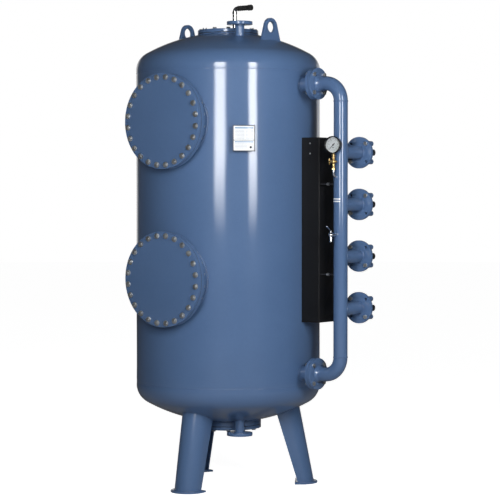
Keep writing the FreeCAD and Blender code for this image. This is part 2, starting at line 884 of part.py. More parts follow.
def gauge():
    back = (0, size.gauge_depth / 2, 0)
    front = size.gauge_depth / 2
    inner = size.gauge_case - 2 * size.gauge_wall
    hollow = size.gauge_depth - size.gauge_wall
    spindle_bore = size.pointer_spindle + 2 * size.stem_clearance
    boss_length = size.gauge_depth - size.gauge_wall - size.dial_depth
    case = fuse(
        "gauge_shell",
        cut("gauge_pot", rod("gauge_drum", size.gauge_case, size.gauge_depth, back, "-y"),
            rod("gauge_room", inner, hollow, (0, front - size.gauge_wall, 0), "-y")),
        tube("gauge_bezel_ring", size.gauge_bezel, inner, size.bezel_depth,
             (0, size.bezel_depth - front, 0), "-y"),
        rod("gauge_boss", size.gauge_boss, boss_length, (0, front - size.gauge_wall, 0), "-y"),
    )
    sub_part("gauge_case", faced(cut(
        "gauge_bored", case,
        rod("gauge_spindle_bore", spindle_bore, boss_length,
            (0, size.dial_depth + boss_length - front, 0), "-y"),
    )))
    dial_back = size.dial_depth - front
    sub_part("gauge_dial", faced(tube(
        "dial", inner, spindle_bore, size.dial_thickness, (0, dial_back, 0), "-y",
    )))
    glass_back = size.glass_thickness + size.glass_inset - front
    glass = rod("glass", inner, size.glass_thickness, (0, glass_back, 0), "-y")
    sub_part("gauge_glass", faced(group("glass_seated", glass)))
    face = dial_back - size.dial_thickness - size.pointer_gap
    needle = block(
        "needle", size.needle_width, size.needle_thickness,
        size.pointer_reach + size.pointer_tail,
        (-size.needle_width / 2, face - size.needle_thickness, -size.pointer_tail),
    )
    pointer = fuse(
        "pointer_fused", needle,
        rod("pointer_hub", size.pointer_hub, size.pointer_hub_depth, (0, face, 0), "-y"),
        rod("pointer_spindle", size.pointer_spindle,
            boss_length / 2 + size.dial_thickness + size.pointer_gap,
            (0, dial_back + boss_length / 2, 0), "-y"),
    )
    seat = faced(pointer)
    swing = Rotation(Vector(0, 1, 0), size.pointer_rest.number)
    seat.Placement.Rotation = seat.Placement.Rotation.multiply(swing)
    sub_part("gauge_pointer", seat)


def gauge_cock():
    """A brass cock under the gauge, with its handle on the -X side."""
    line = (size.header_reach, -size.gauge_front)
    bottom = size.siphon_level + size.siphon_bend + size.siphon_tube
    case_low = size.gauge_level - size.gauge_case / 2
    level = size.cock_level
    body = fuse(
        "cock_stock",
        rod("cock_post", size.cock_post, case_low + size.gauge_wall - bottom, (*line, bottom)),
        hexagon("cock_nut", size.cock_nut, size.cock_nut_height - size.cock_nut_gap,
                (*line, gauge_foot - size.cock_nut_height)),
        hexagon("cock_foot", size.cock_foot, size.cock_foot_height, (*line, bottom)),
        ball("cock_ball", size.cock_ball, (*line, level)),
        rod("cock_arm", size.cock_arm, size.cock_reach, (*line, level), "-x"),
        rod("cock_plug", size.cock_arm, size.cock_reach, (*line, level), "+x"),
    )
    depth = size.cock_spindle_depth
    arm_end = size.header_reach - size.cock_reach
    hole = size.cock_spindle + 2 * size.stem_clearance
    bored = cut("cock", body, rod("cock_bore", hole, depth, (arm_end, line[1], level), "+x"))
    drum = rod("gauge_clear", size.gauge_case, size.gauge_depth, (0, size.gauge_depth / 2, 0), "-y")
    sub_part("gauge_cock", cut("cock_fitted", bored, faced(group("gauge_seat", drum))))
    knob_start = arm_end - size.cap_gap
    spindle_length = depth - size.cap_gap
    sub_part("gauge_cock_handle", fuse(
        "cock_handle",
        rod("cock_knob", size.cock_knob, size.cock_knob_length, (knob_start, line[1], level), "-x"),
        rod("cock_bar", size.cock_bar, size.cock_bar_length,
            (knob_start - size.cock_knob_length / 2, line[1], level - size.cock_bar_length / 2)),
        rod("cock_spindle", size.cock_spindle, spindle_length,
            (knob_start + spindle_length, line[1], level), "-x"),
    ))


def siphon():
    """A bent tube from the header up to the cock."""
    def run(name, diameter):
        corner = size.siphon_level + size.siphon_bend
        bend = quarter_bend(f"{name}_bend", diameter, size.siphon_bend)
        bend_at = (size.header_reach, size.siphon_bend - size.gauge_front, corner)
        put(bend, bend_at, Rotation(Vector(0, 0, -1), Vector(0, -1, 0), Vector(1, 0, 0), "XYZ"))
        return fuse(
            name, bend,
            rod(f"{name}_up", diameter, size.siphon_tube,
                (size.header_reach, -size.gauge_front, corner)),
            rod(f"{name}_in", diameter, size.gauge_front - size.siphon_bend,
                (size.header_reach, size.siphon_bend - size.gauge_front, size.siphon_level), "+y"),
        )
    outer = run("siphon_outside", size.siphon_tube)
    inner = run("siphon_inside", size.siphon_tube - 2 * size.siphon_wall)
    sub_part("siphon_tube", cut("siphon", outer, inner, header_solid))


gauge()
gauge_cock()
siphon()
siphon_hole = size.siphon_tube - 2 * size.siphon_wall
siphon_tap = rod(
    "siphon_tap", siphon_hole, size.pipe_diameter / 2,
    (size.header_reach, 0, size.siphon_level), "-y",
)
tap_tap = rod(
    "tap_tap", siphon_hole, size.pipe_diameter / 2, (size.header_reach, 0, size.tap_level), "-y"
)
sub_part("header_pipe", cut("header_tapped", header, *header_taps, siphon_tap, tap_tap))

# ------------------------------------------------------------- sampling tap

def sample_tap():
    """A spouted tap on the header whose lever turns about an upright spindle."""
    line = (size.header_reach, -size.tap_front)
    at = (*line, size.tap_level)
    gland = size.tap_chamber / 2
    top = size.tap_level + gland
    stock = fuse(
        "tap_stock",
        rod("tap_tail", size.tap_pipe, size.tap_front, (size.header_reach, 0, size.tap_level), "-y"),
        ball("tap_ball", size.tap_chamber, at),
        rod("tap_gland", size.tap_gland, gland, at),
        rod("tap_spout", size.tap_spout, size.tap_spout_drop, at, "-z"),
        rod("tap_lip", size.tap_lip, size.tap_lip_height,
            (*line, size.tap_level - size.tap_spout_drop)),
    )
    hole = size.cock_spindle + 2 * size.stem_clearance
    sub_part("tap_body", cut(
        "tap", stock, header_solid,
        rod("tap_spindle_bore", hole, gland, at),
        rod("tap_way", size.tap_spout_bore, size.tap_spout_drop, at, "-z"),
    ))
    wide = size.tap_lever_width
    thick = size.tap_lever_thickness
    cap_at = (*line, top + size.cap_gap)
    bar = block("tap_bar", wide, size.tap_lever_length, thick, (-wide / 2, -size.tap_lever_length, 0))
    tilted = fuse("tap_tilted", bar, rod("tap_eye", size.tap_cap, thick))
    put(tilted, (*line, cap_at[2] + size.tap_lever_rise),
        Rotation(Vector(1, 0, 0), -size.tap_lever_tilt.number))
    sub_part("tap_lever", fuse(
        "tap_handle", tilted,
        rod("tap_cap", size.tap_cap, size.tap_cap_height, cap_at),
        rod("tap_spindle", size.cock_spindle, size.tap_spindle_depth + size.cap_gap,
            (*line, top - size.tap_spindle_depth)),
    ))


sample_tap()

# ----------------------------------------------------- legs, feet and lugs

foot_radius = size.leg_radius + size.foot_rim
floor_block = block(
    "floor_block", size.shell_diameter * 2, size.shell_diameter * 2, size.shell_diameter,
    (-size.shell_diameter, -size.shell_diameter, size.foot_thickness - size.shell_diameter),
)
feet = []


def u_section(name, radius, side, length, drop):
    """A half rod with a block behind it: the outside or the inside of a rolled leg."""
    front = rod(f"{name}_round", 2 * radius, length, (0, 0, -drop))
    front.Angle = 180
    front.Placement.Rotation = Rotation(Vector(0, 0, 1), -90)
    side_at = (-side, -radius, -drop)
    return fuse(name, front, block(f"{name}_side", side, 2 * radius, length, side_at))


def leg(label, azimuth):
    """A leaning U whose two sides grow deeper towards the head."""
    spoke = Rotation(Vector(0, 0, 1), azimuth.number)
    lean = Rotation(Vector(0, 1, 0), -size.leg_lean.number)
    floor_x = size.leg_floor_radius * cosine(azimuth)
    floor_y = size.leg_floor_radius * sine(azimuth)
    drop = size.leg_radius
    inside = u_section(
        f"{label}_inside", size.leg_radius - size.leg_wall, size.leg_depth + size.leg_wall,
        size.leg_stock, drop,
    )
    outside = u_section(f"{label}_outside", size.leg_radius, size.leg_depth, size.leg_stock, drop)
    behind = block(
        f"{label}_behind", size.leg_stock, 4 * size.leg_radius, 2 * size.leg_stock,
        (-size.leg_stock, -2 * size.leg_radius, -size.leg_stock),
    )
    trim = group(f"{label}_trim", behind)
    put(trim, (-size.leg_side, 0, 0), Rotation(Vector(0, 1, 0), -size.leg_side_taper.number))
    stock = cut(f"{label}_stock", outside, inside, trim)
    put(stock, (floor_x, floor_y, 0), spoke.multiply(lean))
    sub_part(label, cut(f"{label}_fitted", stock, floor_block, bottom_dome))
    rim_side = size.leg_side + size.foot_rim
    plate = u_section(f"{label}_plate", foot_radius, rim_side, size.foot_thickness, 0)
    hole = rod(f"{label}_anchor", size.anchor_hole, size.foot_thickness, (-size.anchor_inset, 0, 0))
    foot = cut(f"{label}_foot", plate, hole)
    feet.append(put(foot, (floor_x, floor_y, 0), spoke))


LEGS = ("front_leg", "right_leg", "rear_leg")
for turn, label in enumerate(LEGS[:int(size.leg_count.number)]):
    leg(label, size.leg_azimuth + 360.0 * turn / size.leg_count.number)
sub_part("foot_plates", group("foot_set", *feet))


def lifting_lug(label, side):
    body, sketch = sketched_body(label, "YZ_Plane")
    base = size.lug_base / 2
    radius = size.lug_top_radius
    height = size.lug_height
    span = base * base + height * height
    tangent = root(span - radius * radius)
    edge_y = radius * (radius * base + tangent * height) / span
    edge_z = height + radius * (tangent * base - radius * height) / span
    skirt = -size.lug_base / 4
    corners = [
        (-base, skirt), (base, skirt), (base, 0), (edge_y, edge_z), (-edge_y, edge_z), (-base, 0),
    ]
    outline(sketch, corners, {3: ((0, height), radius)})
    plate = body.newObject("PartDesign::Pad", f"{label}_plate")
    plate.Profile = sketch
    bind(plate, Length=size.lug_thickness)
    back = side * size.lug_distance - size.lug_thickness / 2
    put(body, (back, 0, size.lug_level), Rotation())
    hole = rod(
        f"{label}_hole", size.lug_hole, size.lug_thickness,
        (back, 0, size.lug_level + size.lug_height), "+x",
    )
    plate = group(f"{label}_turned", cut(f"{label}_pierced", body, hole))
    put(plate, AXIS, Rotation(Vector(0, 0, 1), size.lug_azimuth.number))
    return cut(f"{label}_cut", plate, top_dome)


sub_part("lifting_lugs", group(
    "lug_pair", lifting_lug("left_lug", -1), lifting_lug("right_lug", 1)
))

# ------------------------------------------------------ hand holes and vents

# The head nozzles stand midway between two bolts of the pads. Seen from below, the same bolts
# run the other way round.
pad_bolt_count = int(size.pad_bolts.number)
first_pad_angle = size.head_nozzle_azimuth.number + 180.0 / size.pad_bolts.number
pad_angles = {
    "+z": even_angles(pad_bolt_count, first_pad_angle),
    "-z": even_angles(pad_bolt_count, -first_pad_angle),
}
pad_bolt = bolt(
    "pad_bolt", size.small_thread, size.small_key, size.small_head,
    size.pad_cover_thickness + size.gasket_thickness + size.pad_thread_depth - size.bolt_overrun,
)
pad_gaskets = []
pad_bolt_places = []


def hand_hole(label, level, seam, outer, circle, toward, inward, side):
    """A thick pad let into a head, closed by a bolted cover."""
    face = (0, 0, level)
    seal_front = level + side * size.gasket_thickness
    outside = seal_front + side * size.pad_cover_thickness
    pad = tube(f"{label}_ring", outer, size.pad_bore, size.pad_depth, face, inward)
    sub_part(f"{label}_pad", drilled(
        f"{label}_pad", pad, size.small_thread, size.pad_thread_depth, circle,
        pad_angles[inward], face, inward,
    ))
    seal = tube(f"{label}_seal", outer, size.pad_bore, size.gasket_thickness, face, toward)
    pad_gaskets.append(drilled(
        f"{label}_seal", seal, size.small_hole, size.gasket_thickness, circle,
        pad_angles[toward], face, toward,
    ))
    lid_at = (0, 0, seal_front)
    lid = rod(f"{label}_lid", outer, size.pad_cover_thickness, lid_at, toward)
    sub_part(f"{label}_cover", drilled(
        f"{label}_lid", lid, size.small_hole, size.pad_cover_thickness, circle,
        pad_angles[toward], lid_at, toward,
    ))
    pad_bolt_places.extend(circle_places(circle, pad_angles[inward], (0, 0, outside), inward))
    rise = side * (level - seam) + size.pad_depth
    return rod(f"{label}_opening", outer, rise, (0, 0, seam), toward)


top_opening = hand_hole(
    "top_hand_hole", size.top_pad_level, size.high_seam, size.top_pad_diameter,
    size.top_pad_circle, "+z", "-z", 1,
)
bottom_opening = hand_hole(
    "bottom_hand_hole", size.bottom_pad_level, size.low_seam, size.bottom_pad_diameter,
    size.bottom_pad_circle, "-z", "+z", -1,
)
sub_part("hand_hole_gaskets", group("pad_seals", *pad_gaskets))
sub_part("hand_hole_bolts", copies("pad_bolt_set", pad_bolt, pad_bolt_places))

nozzle_x = size.head_nozzle_distance * cosine(size.head_nozzle_azimuth)
nozzle_y = size.head_nozzle_distance * sine(size.head_nozzle_azimuth)


def head_nozzle(label, face_level, seam, hollow, toward, length, side):
    """A flanged nozzle that passes through a head."""
    start = (nozzle_x, nozzle_y, seam)
    back = (nozzle_x, nozzle_y, face_level - side * size.head_nozzle_thickness)
    thick = size.head_nozzle_thickness
    pipe = rod(f"{label}_pipe", size.head_nozzle_pipe, length, start, toward)
    flange = rod(f"{label}_flange", size.head_nozzle_flange, thick, back, toward)
    inner = size.head_nozzle_pipe - 2 * size.head_nozzle_wall
    bore = rod(f"{label}_bore", inner, length, start, toward)
    hollowed = cut(f"{label}_hollow", fuse(f"{label}_weld", pipe, flange), bore, hollow)
    sub_part(label, drilled(
        label, hollowed, size.small_hole, thick, size.head_nozzle_circle, flange_angles,
        back, toward,
    ))
    return rod(f"{label}_opening", size.head_nozzle_pipe, length, start, toward)


top_nozzle_opening = head_nozzle(
    "top_nozzle", size.top_nozzle_level, size.high_seam, top_hollow, "+z",
    size.top_nozzle_level - size.high_seam, 1,
)
drain_opening = head_nozzle(
    "drain_nozzle", size.drain_nozzle_level, size.low_seam, bottom_hollow, "-z",
    size.low_seam - size.drain_nozzle_level, -1,
)

sub_part("shell", cut(
    "shell", shell_stock, shell_inside, *manway_openings, *nozzle_openings
))
sub_part("top_head", cut("top_head", top_dome, top_hollow, top_opening, top_nozzle_opening))
sub_part("bottom_head", cut(
    "bottom_head", bottom_dome, bottom_hollow, bottom_opening, drain_opening
))


def vent():
    """A pipe on the top cover that turns to a ribbed vent valve and its knob."""
    cover_top = size.top_pad_level + size.gasket_thickness + size.pad_cover_thickness
    post = size.vent_level - size.vent_bend - cover_top
    bend_at = (size.vent_offset + size.vent_bend, 0, size.vent_level - size.vent_bend)
    upright = (size.vent_offset, 0, cover_top)

    def run(name, diameter):
        bend = quarter_bend(f"{name}_bend", diameter, size.vent_bend)
        put(bend, bend_at, Rotation(Vector(-1, 0, 0), Vector(0, 0, 1), Vector(0, 1, 0), "XYZ"))
        return fuse(name, bend, rod(f"{name}_post", diameter, post, upright))

    elbow = cut(
        "vent_elbow", run("vent_outside", size.vent_pipe),
        run("vent_inside", size.vent_pipe - 2 * size.vent_wall),
    )
    collar = tube("vent_collar", size.vent_collar, size.vent_pipe, size.vent_collar_height,
                  (size.vent_offset, 0, cover_top + post - size.vent_collar_height))
    sub_part("vent_pipe", fuse("vent_stock", elbow, collar))
    start = (size.vent_offset + size.vent_bend, 0, size.vent_level)
    pitch = size.vent_length / size.vent_ribs.number
    ribs = []
    for order in range(int(size.vent_ribs.number)):
        rib_at = (start[0] + pitch * order, 0, size.vent_level)
        ribs.append(rod(f"vent_rib_{order}", size.vent_rib, size.vent_rib_width, rib_at, "+x"))
    barrel = fuse(
        "vent_barrel", rod("vent_core", size.vent_body, size.vent_length, start, "+x"), *ribs
    )
    valve_end = start[0] + size.vent_length
    hole = size.cock_spindle + 2 * size.stem_clearance
    bore = rod("vent_bore", hole, size.vent_length / 2, (valve_end, 0, size.vent_level), "-x")
    sub_part("vent_valve", cut("vent_bored", barrel, bore))
    knob_start = valve_end + size.vent_gap
    sub_part("vent_knob", fuse(
        "vent_grip",
        rod("vent_grip_drum", size.vent_knob, size.vent_knob_length,
            (knob_start, 0, size.vent_level), "+x"),
        rod("vent_spindle", size.cock_spindle, size.vent_spindle_depth + size.vent_gap,
            (valve_end - size.vent_spindle_depth, 0, size.vent_level), "+x"),
    ))


vent()

# ------------------------------------------------------------------ nameplate

def nameplate():
    """A plate on a bracket of two cheeks and a back, welded to the shell."""
    turn = Rotation(Vector(0, 0, 1), size.plate_azimuth.number)
    wide = size.plate_width + 2 * size.plate_border
    tall = size.plate_height + 2 * size.plate_border
    face = size.shell_diameter / 2 + size.plate_standoff
    cheek = size.plate_standoff * 2
    low = size.plate_level - tall / 2
    back = block("bracket_back", size.bracket_sheet, wide, tall, (face, -wide / 2, low))
    cheeks = [
        block(f"bracket_cheek_{side}", cheek, size.bracket_sheet, tall / 2,
              (face - cheek, side * wide / 4, size.plate_level - tall / 4))
        for side in (-1, 1)
    ]
    bracket = fuse("bracket_stock", back, *cheeks)
    put(bracket, AXIS, turn)
    sub_part("nameplate_bracket", cut("bracket", bracket, shell_stock))
    plate = block(
        "plate", size.plate_thickness, size.plate_width, size.plate_height,
        (face + size.bracket_sheet, -size.plate_width / 2,
         size.plate_level - size.plate_height / 2),
    )
    turned = group("plate_turned", plate)
    put(turned, AXIS, turn)
    sub_part("nameplate", turned)


nameplate()

# ----------------------------------------------------------- inside the tank

floor_top = size.floor_level + size.floor_thickness
strainer_places = [Placement(Vector(0, 0, floor_top.number), Rotation())]
for ring in range(1, int(size.strainer_rings.number) + 1):
    strainer_places.extend(circle_places(
        2 * ring * size.strainer_pitch, even_angles(6 * ring, 0.0), (0, 0, floor_top), "+z"
    ))
strainer = fuse(
    "strainer",
    rod("strainer_cap", size.strainer_cap, size.strainer_cap_height),
    rod("strainer_stem", size.strainer_stem, size.floor_thickness * 2,
        (0, 0, -2 * size.floor_thickness)),
)
sub_part("strainers", copies("strainer_set", strainer, strainer_places))
stem_hole = rod("stem_hole", size.strainer_stem, size.floor_thickness, (0, 0, -size.floor_thickness))
stem_holes = copies("stem_holes", stem_hole, strainer_places)
floor_plate = rod("floor_stock", inner_diameter, size.floor_thickness, (0, 0, size.floor_level))
sub_part("nozzle_plate", cut("floor_plate", floor_plate, stem_holes))
gravel_start = floor_top + size.strainer_cap_height
sub_part("gravel_bed", rod(
    "gravel", inner_diameter, size.gravel_top - gravel_start, (0, 0, gravel_start)
))
sub_part("sand_bed", rod(
    "sand", inner_diameter, size.sand_top - size.gravel_top, (0, 0, size.gravel_top)
))


def distributor():
    """A pipe from the inlet nozzle to an upturned bell on the axis."""
    start = (0, 0, size.inlet_level)
    bell_height = size.distributor_bell / 2
    reach = size.shell_diameter / 2
    feed = rod("feed", size.pipe_diameter, reach, start, "+x")
    riser = rod("riser", size.pipe_diameter, size.pipe_diameter, (0, 0, size.inlet_level))
    bell_at = (0, 0, size.inlet_level + size.pipe_diameter)
    bell = cone("bell", size.pipe_diameter, size.distributor_bell, bell_height, bell_at)
    end = ball("feed_end", size.pipe_diameter, start)
    stock = fuse("distributor_stock", feed, riser, bell, end)
    ways = fuse(
        "distributor_ways",
        rod("feed_bore", pipe_bore, reach, start, "+x"),
        rod("riser_bore", pipe_bore, size.pipe_diameter, (0, 0, size.inlet_level)),
        cone("bell_bore", pipe_bore, size.distributor_bell - 2 * size.pipe_wall, bell_height,
             bell_at),
        ball("end_bore", pipe_bore, start),
    )
    inside = doc.addObject("Part::Common", "distributor_fitted")
    inside.Base = cut("distributor_bored", stock, ways)
    inside.Tool = fuse("vessel_inside", shell_inside, top_hollow)
    sub_part("inlet_distributor", inside)


distributor()

# --------------------------------------------------------------------- output

doc.recompute()
os.makedirs("parts", exist_ok=True)
for item in doc.Objects:
    failed = {"Invalid", "Error"} & set(item.State)
    if failed:
        raise RuntimeError(f"{item.Label} failed: {item.State}")
for node, piece in sub_parts.items():
    if piece.Shape.isNull() or not piece.Shape.isValid() or not piece.Shape.Solids:
        raise RuntimeError(f"{node} has no valid solid")
for node, piece in sub_parts.items():
    piece.Shape.exportStep(f"parts/{node}.step")
    print(node, len(piece.Shape.Solids), round(piece.Shape.Volume / 1000.0, 1), "cm3")
print(len(sub_parts), "sub-parts")
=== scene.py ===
# %% [markdown]
# # Sand filter tank
# A steel pressure vessel on three legs, built round its engineering model. That model gives every
# place and size in metres. This script gives each part the form and the finish that a painter,
# a welder and a fitter would leave on it. Each step first says what the real thing is, and why
# it is made this way.
# %% Frame
import json
import math

import bmesh
import bpy
from mathutils import Matrix, Vector


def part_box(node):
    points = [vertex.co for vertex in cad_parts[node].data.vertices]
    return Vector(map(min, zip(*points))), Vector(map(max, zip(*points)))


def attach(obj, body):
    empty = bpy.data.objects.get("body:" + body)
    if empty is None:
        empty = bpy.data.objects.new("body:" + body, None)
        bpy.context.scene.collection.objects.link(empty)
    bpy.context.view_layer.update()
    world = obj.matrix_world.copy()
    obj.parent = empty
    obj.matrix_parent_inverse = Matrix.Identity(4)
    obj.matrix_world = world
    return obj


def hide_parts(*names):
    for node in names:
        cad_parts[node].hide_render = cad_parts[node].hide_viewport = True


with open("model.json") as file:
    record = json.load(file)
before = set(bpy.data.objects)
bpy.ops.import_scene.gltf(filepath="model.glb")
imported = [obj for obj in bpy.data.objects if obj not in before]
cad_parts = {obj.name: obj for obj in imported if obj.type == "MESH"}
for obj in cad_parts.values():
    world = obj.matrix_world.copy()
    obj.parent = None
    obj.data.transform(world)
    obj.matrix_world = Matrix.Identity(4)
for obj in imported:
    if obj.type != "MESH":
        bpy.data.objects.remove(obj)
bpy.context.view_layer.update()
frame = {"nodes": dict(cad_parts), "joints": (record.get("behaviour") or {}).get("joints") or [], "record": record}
scene = bpy.context.scene

# %% [markdown]
# ## Camera
# The tank is seen from its front right, from a little above its middle, through a long lens, so
# that upright lines stay upright. The camera stands on a circle round the tank's axis.
# %% Camera
AZIMUTH = 37.5
DISTANCE = 12.035
EYE_LEVEL = 1.885
FOCAL = 3.676          # focal length as a multiple of the picture's width
PAN = 0.68
TILT = 1.72
SENSOR = 36.0

camera_data = bpy.data.cameras.new("camera")
camera = bpy.data.objects.new("camera", camera_data)
scene.collection.objects.link(camera)
turn = math.radians(AZIMUTH)
camera.location = (DISTANCE * math.sin(turn), -DISTANCE * math.cos(turn), EYE_LEVEL)
camera.rotation_euler = (math.radians(90 - TILT), 0, math.radians(AZIMUTH - PAN))
camera_data.sensor_width = SENSOR
camera_data.lens = FOCAL * SENSOR
camera_data.clip_end = 100
scene.camera = camera
scene.view_settings.view_transform = "Standard"
toward_camera = Vector((math.sin(turn), -math.cos(turn), 0))
beside_camera = Vector((math.cos(turn), math.sin(turn), 0))
print("camera", round(DISTANCE, 2), "m away at azimuth", AZIMUTH)

# %% Directions
X, Y, Z = Vector((1, 0, 0)), Vector((0, 1, 0)), Vector((0, 0, 1))


def polar(radius, around):
    """The x and y of a point on a circle round the origin."""
    return radius * math.cos(around), radius * math.sin(around)


# %% [markdown]
# ## Node helpers
# A material or a world is a small graph. These helpers add a node, join two sockets and shape a
# value with a ramp, so that the recipes below stay short.
# %% Node helpers
def add(tree, kind, **inputs):
    """A new node, with its inputs set by name."""
    node = tree.nodes.new(kind)
    for name, value in inputs.items():
        node.inputs[name.replace("_", " ")].default_value = value
    return node


def join(tree, source, target):
    tree.links.new(source, target)


def spread(tree, value, low, high, to_low, to_high):
    """Map a value from one range to another, with soft ends."""
    node = tree.nodes.new("ShaderNodeMapRange")
    node.interpolation_type = "SMOOTHSTEP"
    for name, number in (("From Min", low), ("From Max", high), ("To Min", to_low), ("To Max", to_high)):
        node.inputs[name].default_value = number
    join(tree, value, node.inputs["Value"])
    return node.outputs["Result"]


def maths(tree, operation, first, second=None):
    node = tree.nodes.new("ShaderNodeMath")
    node.operation = operation
    for socket, value in zip(node.inputs, (first, second)):
        if isinstance(value, bpy.types.NodeSocket):
            join(tree, value, socket)
        elif value is not None:
            socket.default_value = value
    return node.outputs[0]


# %% [markdown]
# ## Studio
# Glossy paint shows the room. Two tall softboxes stand left and right of the camera, and each
# draws one upright streak on the tank. A bright wall stands behind the tank and gives the thin
# pale rim at its edges. The rest of the room is dim, so that the left side falls into shade.
# %% World
def studio_world(room=0.055, wall=0.70):
    world = bpy.data.worlds.new("studio")
    scene.world = world
    world.use_nodes = True
    tree = world.node_tree
    background = tree.nodes["Background"]
    place = tree.nodes.new("ShaderNodeTexCoord").outputs["Generated"]
    parts = []
    for direction in (-toward_camera, beside_camera):
        dot = tree.nodes.new("ShaderNodeVectorMath")
        dot.operation = "DOT_PRODUCT"
        join(tree, place, dot.inputs[0])
        dot.inputs[1].default_value = direction
        parts.append(dot.outputs["Value"])
    behind, beside = parts
    slope = maths(tree, "DIVIDE", beside, maths(tree, "MAXIMUM", behind, 0.001))
    left = spread(tree, slope, -0.50, -0.38, 0.0, 1.0)
    right = spread(tree, slope, 0.56, 0.70, 1.0, 0.0)
    split = tree.nodes.new("ShaderNodeSeparateXYZ")
    join(tree, place, split.inputs[0])
    height = maths(tree, "ABSOLUTE", split.outputs["Z"])
    low_wall = spread(tree, height, 0.10, 0.26, 1.0, 0.0)
    lit = maths(tree, "MULTIPLY", maths(tree, "MULTIPLY", left, right), low_wall)
    lit = maths(tree, "MULTIPLY", lit, maths(tree, "GREATER_THAN", behind, 0.0))
    level = maths(tree, "ADD", maths(tree, "MULTIPLY", lit, wall), room)
    seen = tree.nodes.new("ShaderNodeLightPath").outputs["Is Camera Ray"]
    strength = maths(tree, "ADD", maths(tree, "MULTIPLY", level, maths(tree, "SUBTRACT", 1.0, seen)), seen)
    background.inputs["Color"].default_value = (1, 1, 1, 1)
    join(tree, strength, background.inputs["Strength"])
    return world


studio_world()
print("world: dim room with a bright wall behind the tank")

# %% Softboxes
SOFTBOX_DISTANCE = 6.0


def softbox(name, angle, half_width, low, high, strength):
    """An upright glowing panel. Its light fades in over the lowest metre and towards its sides."""
    material = bpy.data.materials.new(name)
    material.use_nodes = True
    tree = material.node_tree
    tree.nodes.clear()
    place = tree.nodes.new("ShaderNodeTexCoord").outputs["Object"]
    split = tree.nodes.new("ShaderNodeSeparateXYZ")
    join(tree, place, split.inputs[0])
    glow = tree.nodes.new("ShaderNodeEmission")
    middle = math.radians(AZIMUTH + angle)
    sideways = tree.nodes.new("ShaderNodeVectorMath")
    sideways.operation = "DOT_PRODUCT"
    join(tree, place, sideways.inputs[0])
    sideways.inputs[1].default_value = (math.cos(middle), math.sin(middle), 0)
    half = SOFTBOX_DISTANCE * math.sin(math.radians(half_width))
    edge = spread(tree, maths(tree, "ABSOLUTE", sideways.outputs["Value"]), half * 0.35, half, 1.0, 0.0)
    rise = spread(tree, split.outputs["Z"], low, low + 0.9, 0.0, strength)
    join(tree, maths(tree, "MULTIPLY", rise, edge), glow.inputs["Strength"])
    out = tree.nodes.new("ShaderNodeOutputMaterial")
    join(tree, glow.outputs[0], out.inputs["Surface"])
    corners = []
    for side in (-1, 1):
        around = math.radians(AZIMUTH + angle + side * half_width)
        foot = Vector((math.sin(around), -math.cos(around), 0)) * SOFTBOX_DISTANCE
        corners.append((foot.x, foot.y, low))
        corners.append((foot.x, foot.y, high))
    mesh = bpy.data.meshes.new(name)
    mesh.from_pydata(corners, [], [(0, 1, 3, 2)])
    mesh.materials.append(material)
    panel = bpy.data.objects.new(name, mesh)
    scene.collection.objects.link(panel)
    panel.visible_camera = False
    return panel


softbox("left_softbox", -9.5, 9.0, 1.45, 4.6, 19.0)
softbox("right_softbox", 29.0, 7.0, 1.45, 4.6, 21.0)
print("softboxes", SOFTBOX_DISTANCE, "m from the tank's axis")

# %% Floor
def floor(radius=40.0, sides=64):
    """A wide pale disc that takes soft shadows and fades into the white room."""
    material = bpy.data.materials.new("floor")
    material.use_nodes = True
    tree = material.node_tree
    tree.nodes.clear()
    paper = add(tree, "ShaderNodeBsdfDiffuse", Color=(0.55, 0.55, 0.56, 1))
    glow = add(tree, "ShaderNodeEmission", Color=(1, 1, 1, 1))
    seen = tree.nodes.new("ShaderNodeLightPath").outputs["Is Camera Ray"]
    join(tree, maths(tree, "MULTIPLY", seen, 0.955), glow.inputs["Strength"])
    both = tree.nodes.new("ShaderNodeAddShader")
    join(tree, paper.outputs[0], both.inputs[0])
    join(tree, glow.outputs[0], both.inputs[1])
    out = tree.nodes.new("ShaderNodeOutputMaterial")
    join(tree, both.outputs[0], out.inputs["Surface"])
    rim = [(*polar(radius, math.tau * s / sides), 0) for s in range(sides)]
    mesh = bpy.data.meshes.new("floor")
    mesh.from_pydata(rim, [], [tuple(range(sides))])
    mesh.materials.append(material)
    disc = bpy.data.objects.new("floor", mesh)
    scene.collection.objects.link(disc)
    return disc


floor()
print("floor laid at z = 0")

# %% [markdown]
# ## Finishes
# Two effects are shared by many finishes. Mottle is a slow change of shade and gloss over the
# surface. Ripple is the height of a sprayed or cast skin: fine orange peel with a slower wave
# under it. Both read Object coordinates, in metres, so they stay put on every piece.
# %% Shared effects
def effect(name, outputs, inputs):
    group = bpy.data.node_groups.new(name, "ShaderNodeTree")
    for label, value in inputs:
        socket = group.interface.new_socket(label, in_out="INPUT", socket_type="NodeSocketFloat")
        socket.default_value = value
    for label in outputs:
        group.interface.new_socket(label, in_out="OUTPUT", socket_type="NodeSocketFloat")
    start = group.nodes.new("NodeGroupInput")
    end = group.nodes.new("NodeGroupOutput")
    place = group.nodes.new("ShaderNodeTexCoord").outputs["Object"]
    return group, start, end, place


def noise(tree, place, scale, detail=2.0):
    node = tree.nodes.new("ShaderNodeTexNoise")
    node.inputs["Detail"].default_value = detail
    join(tree, place, node.inputs["Vector"])
    if isinstance(scale, bpy.types.NodeSocket):
        join(tree, scale, node.inputs["Scale"])
    else:
        node.inputs["Scale"].default_value = scale
    return node.outputs["Fac"]


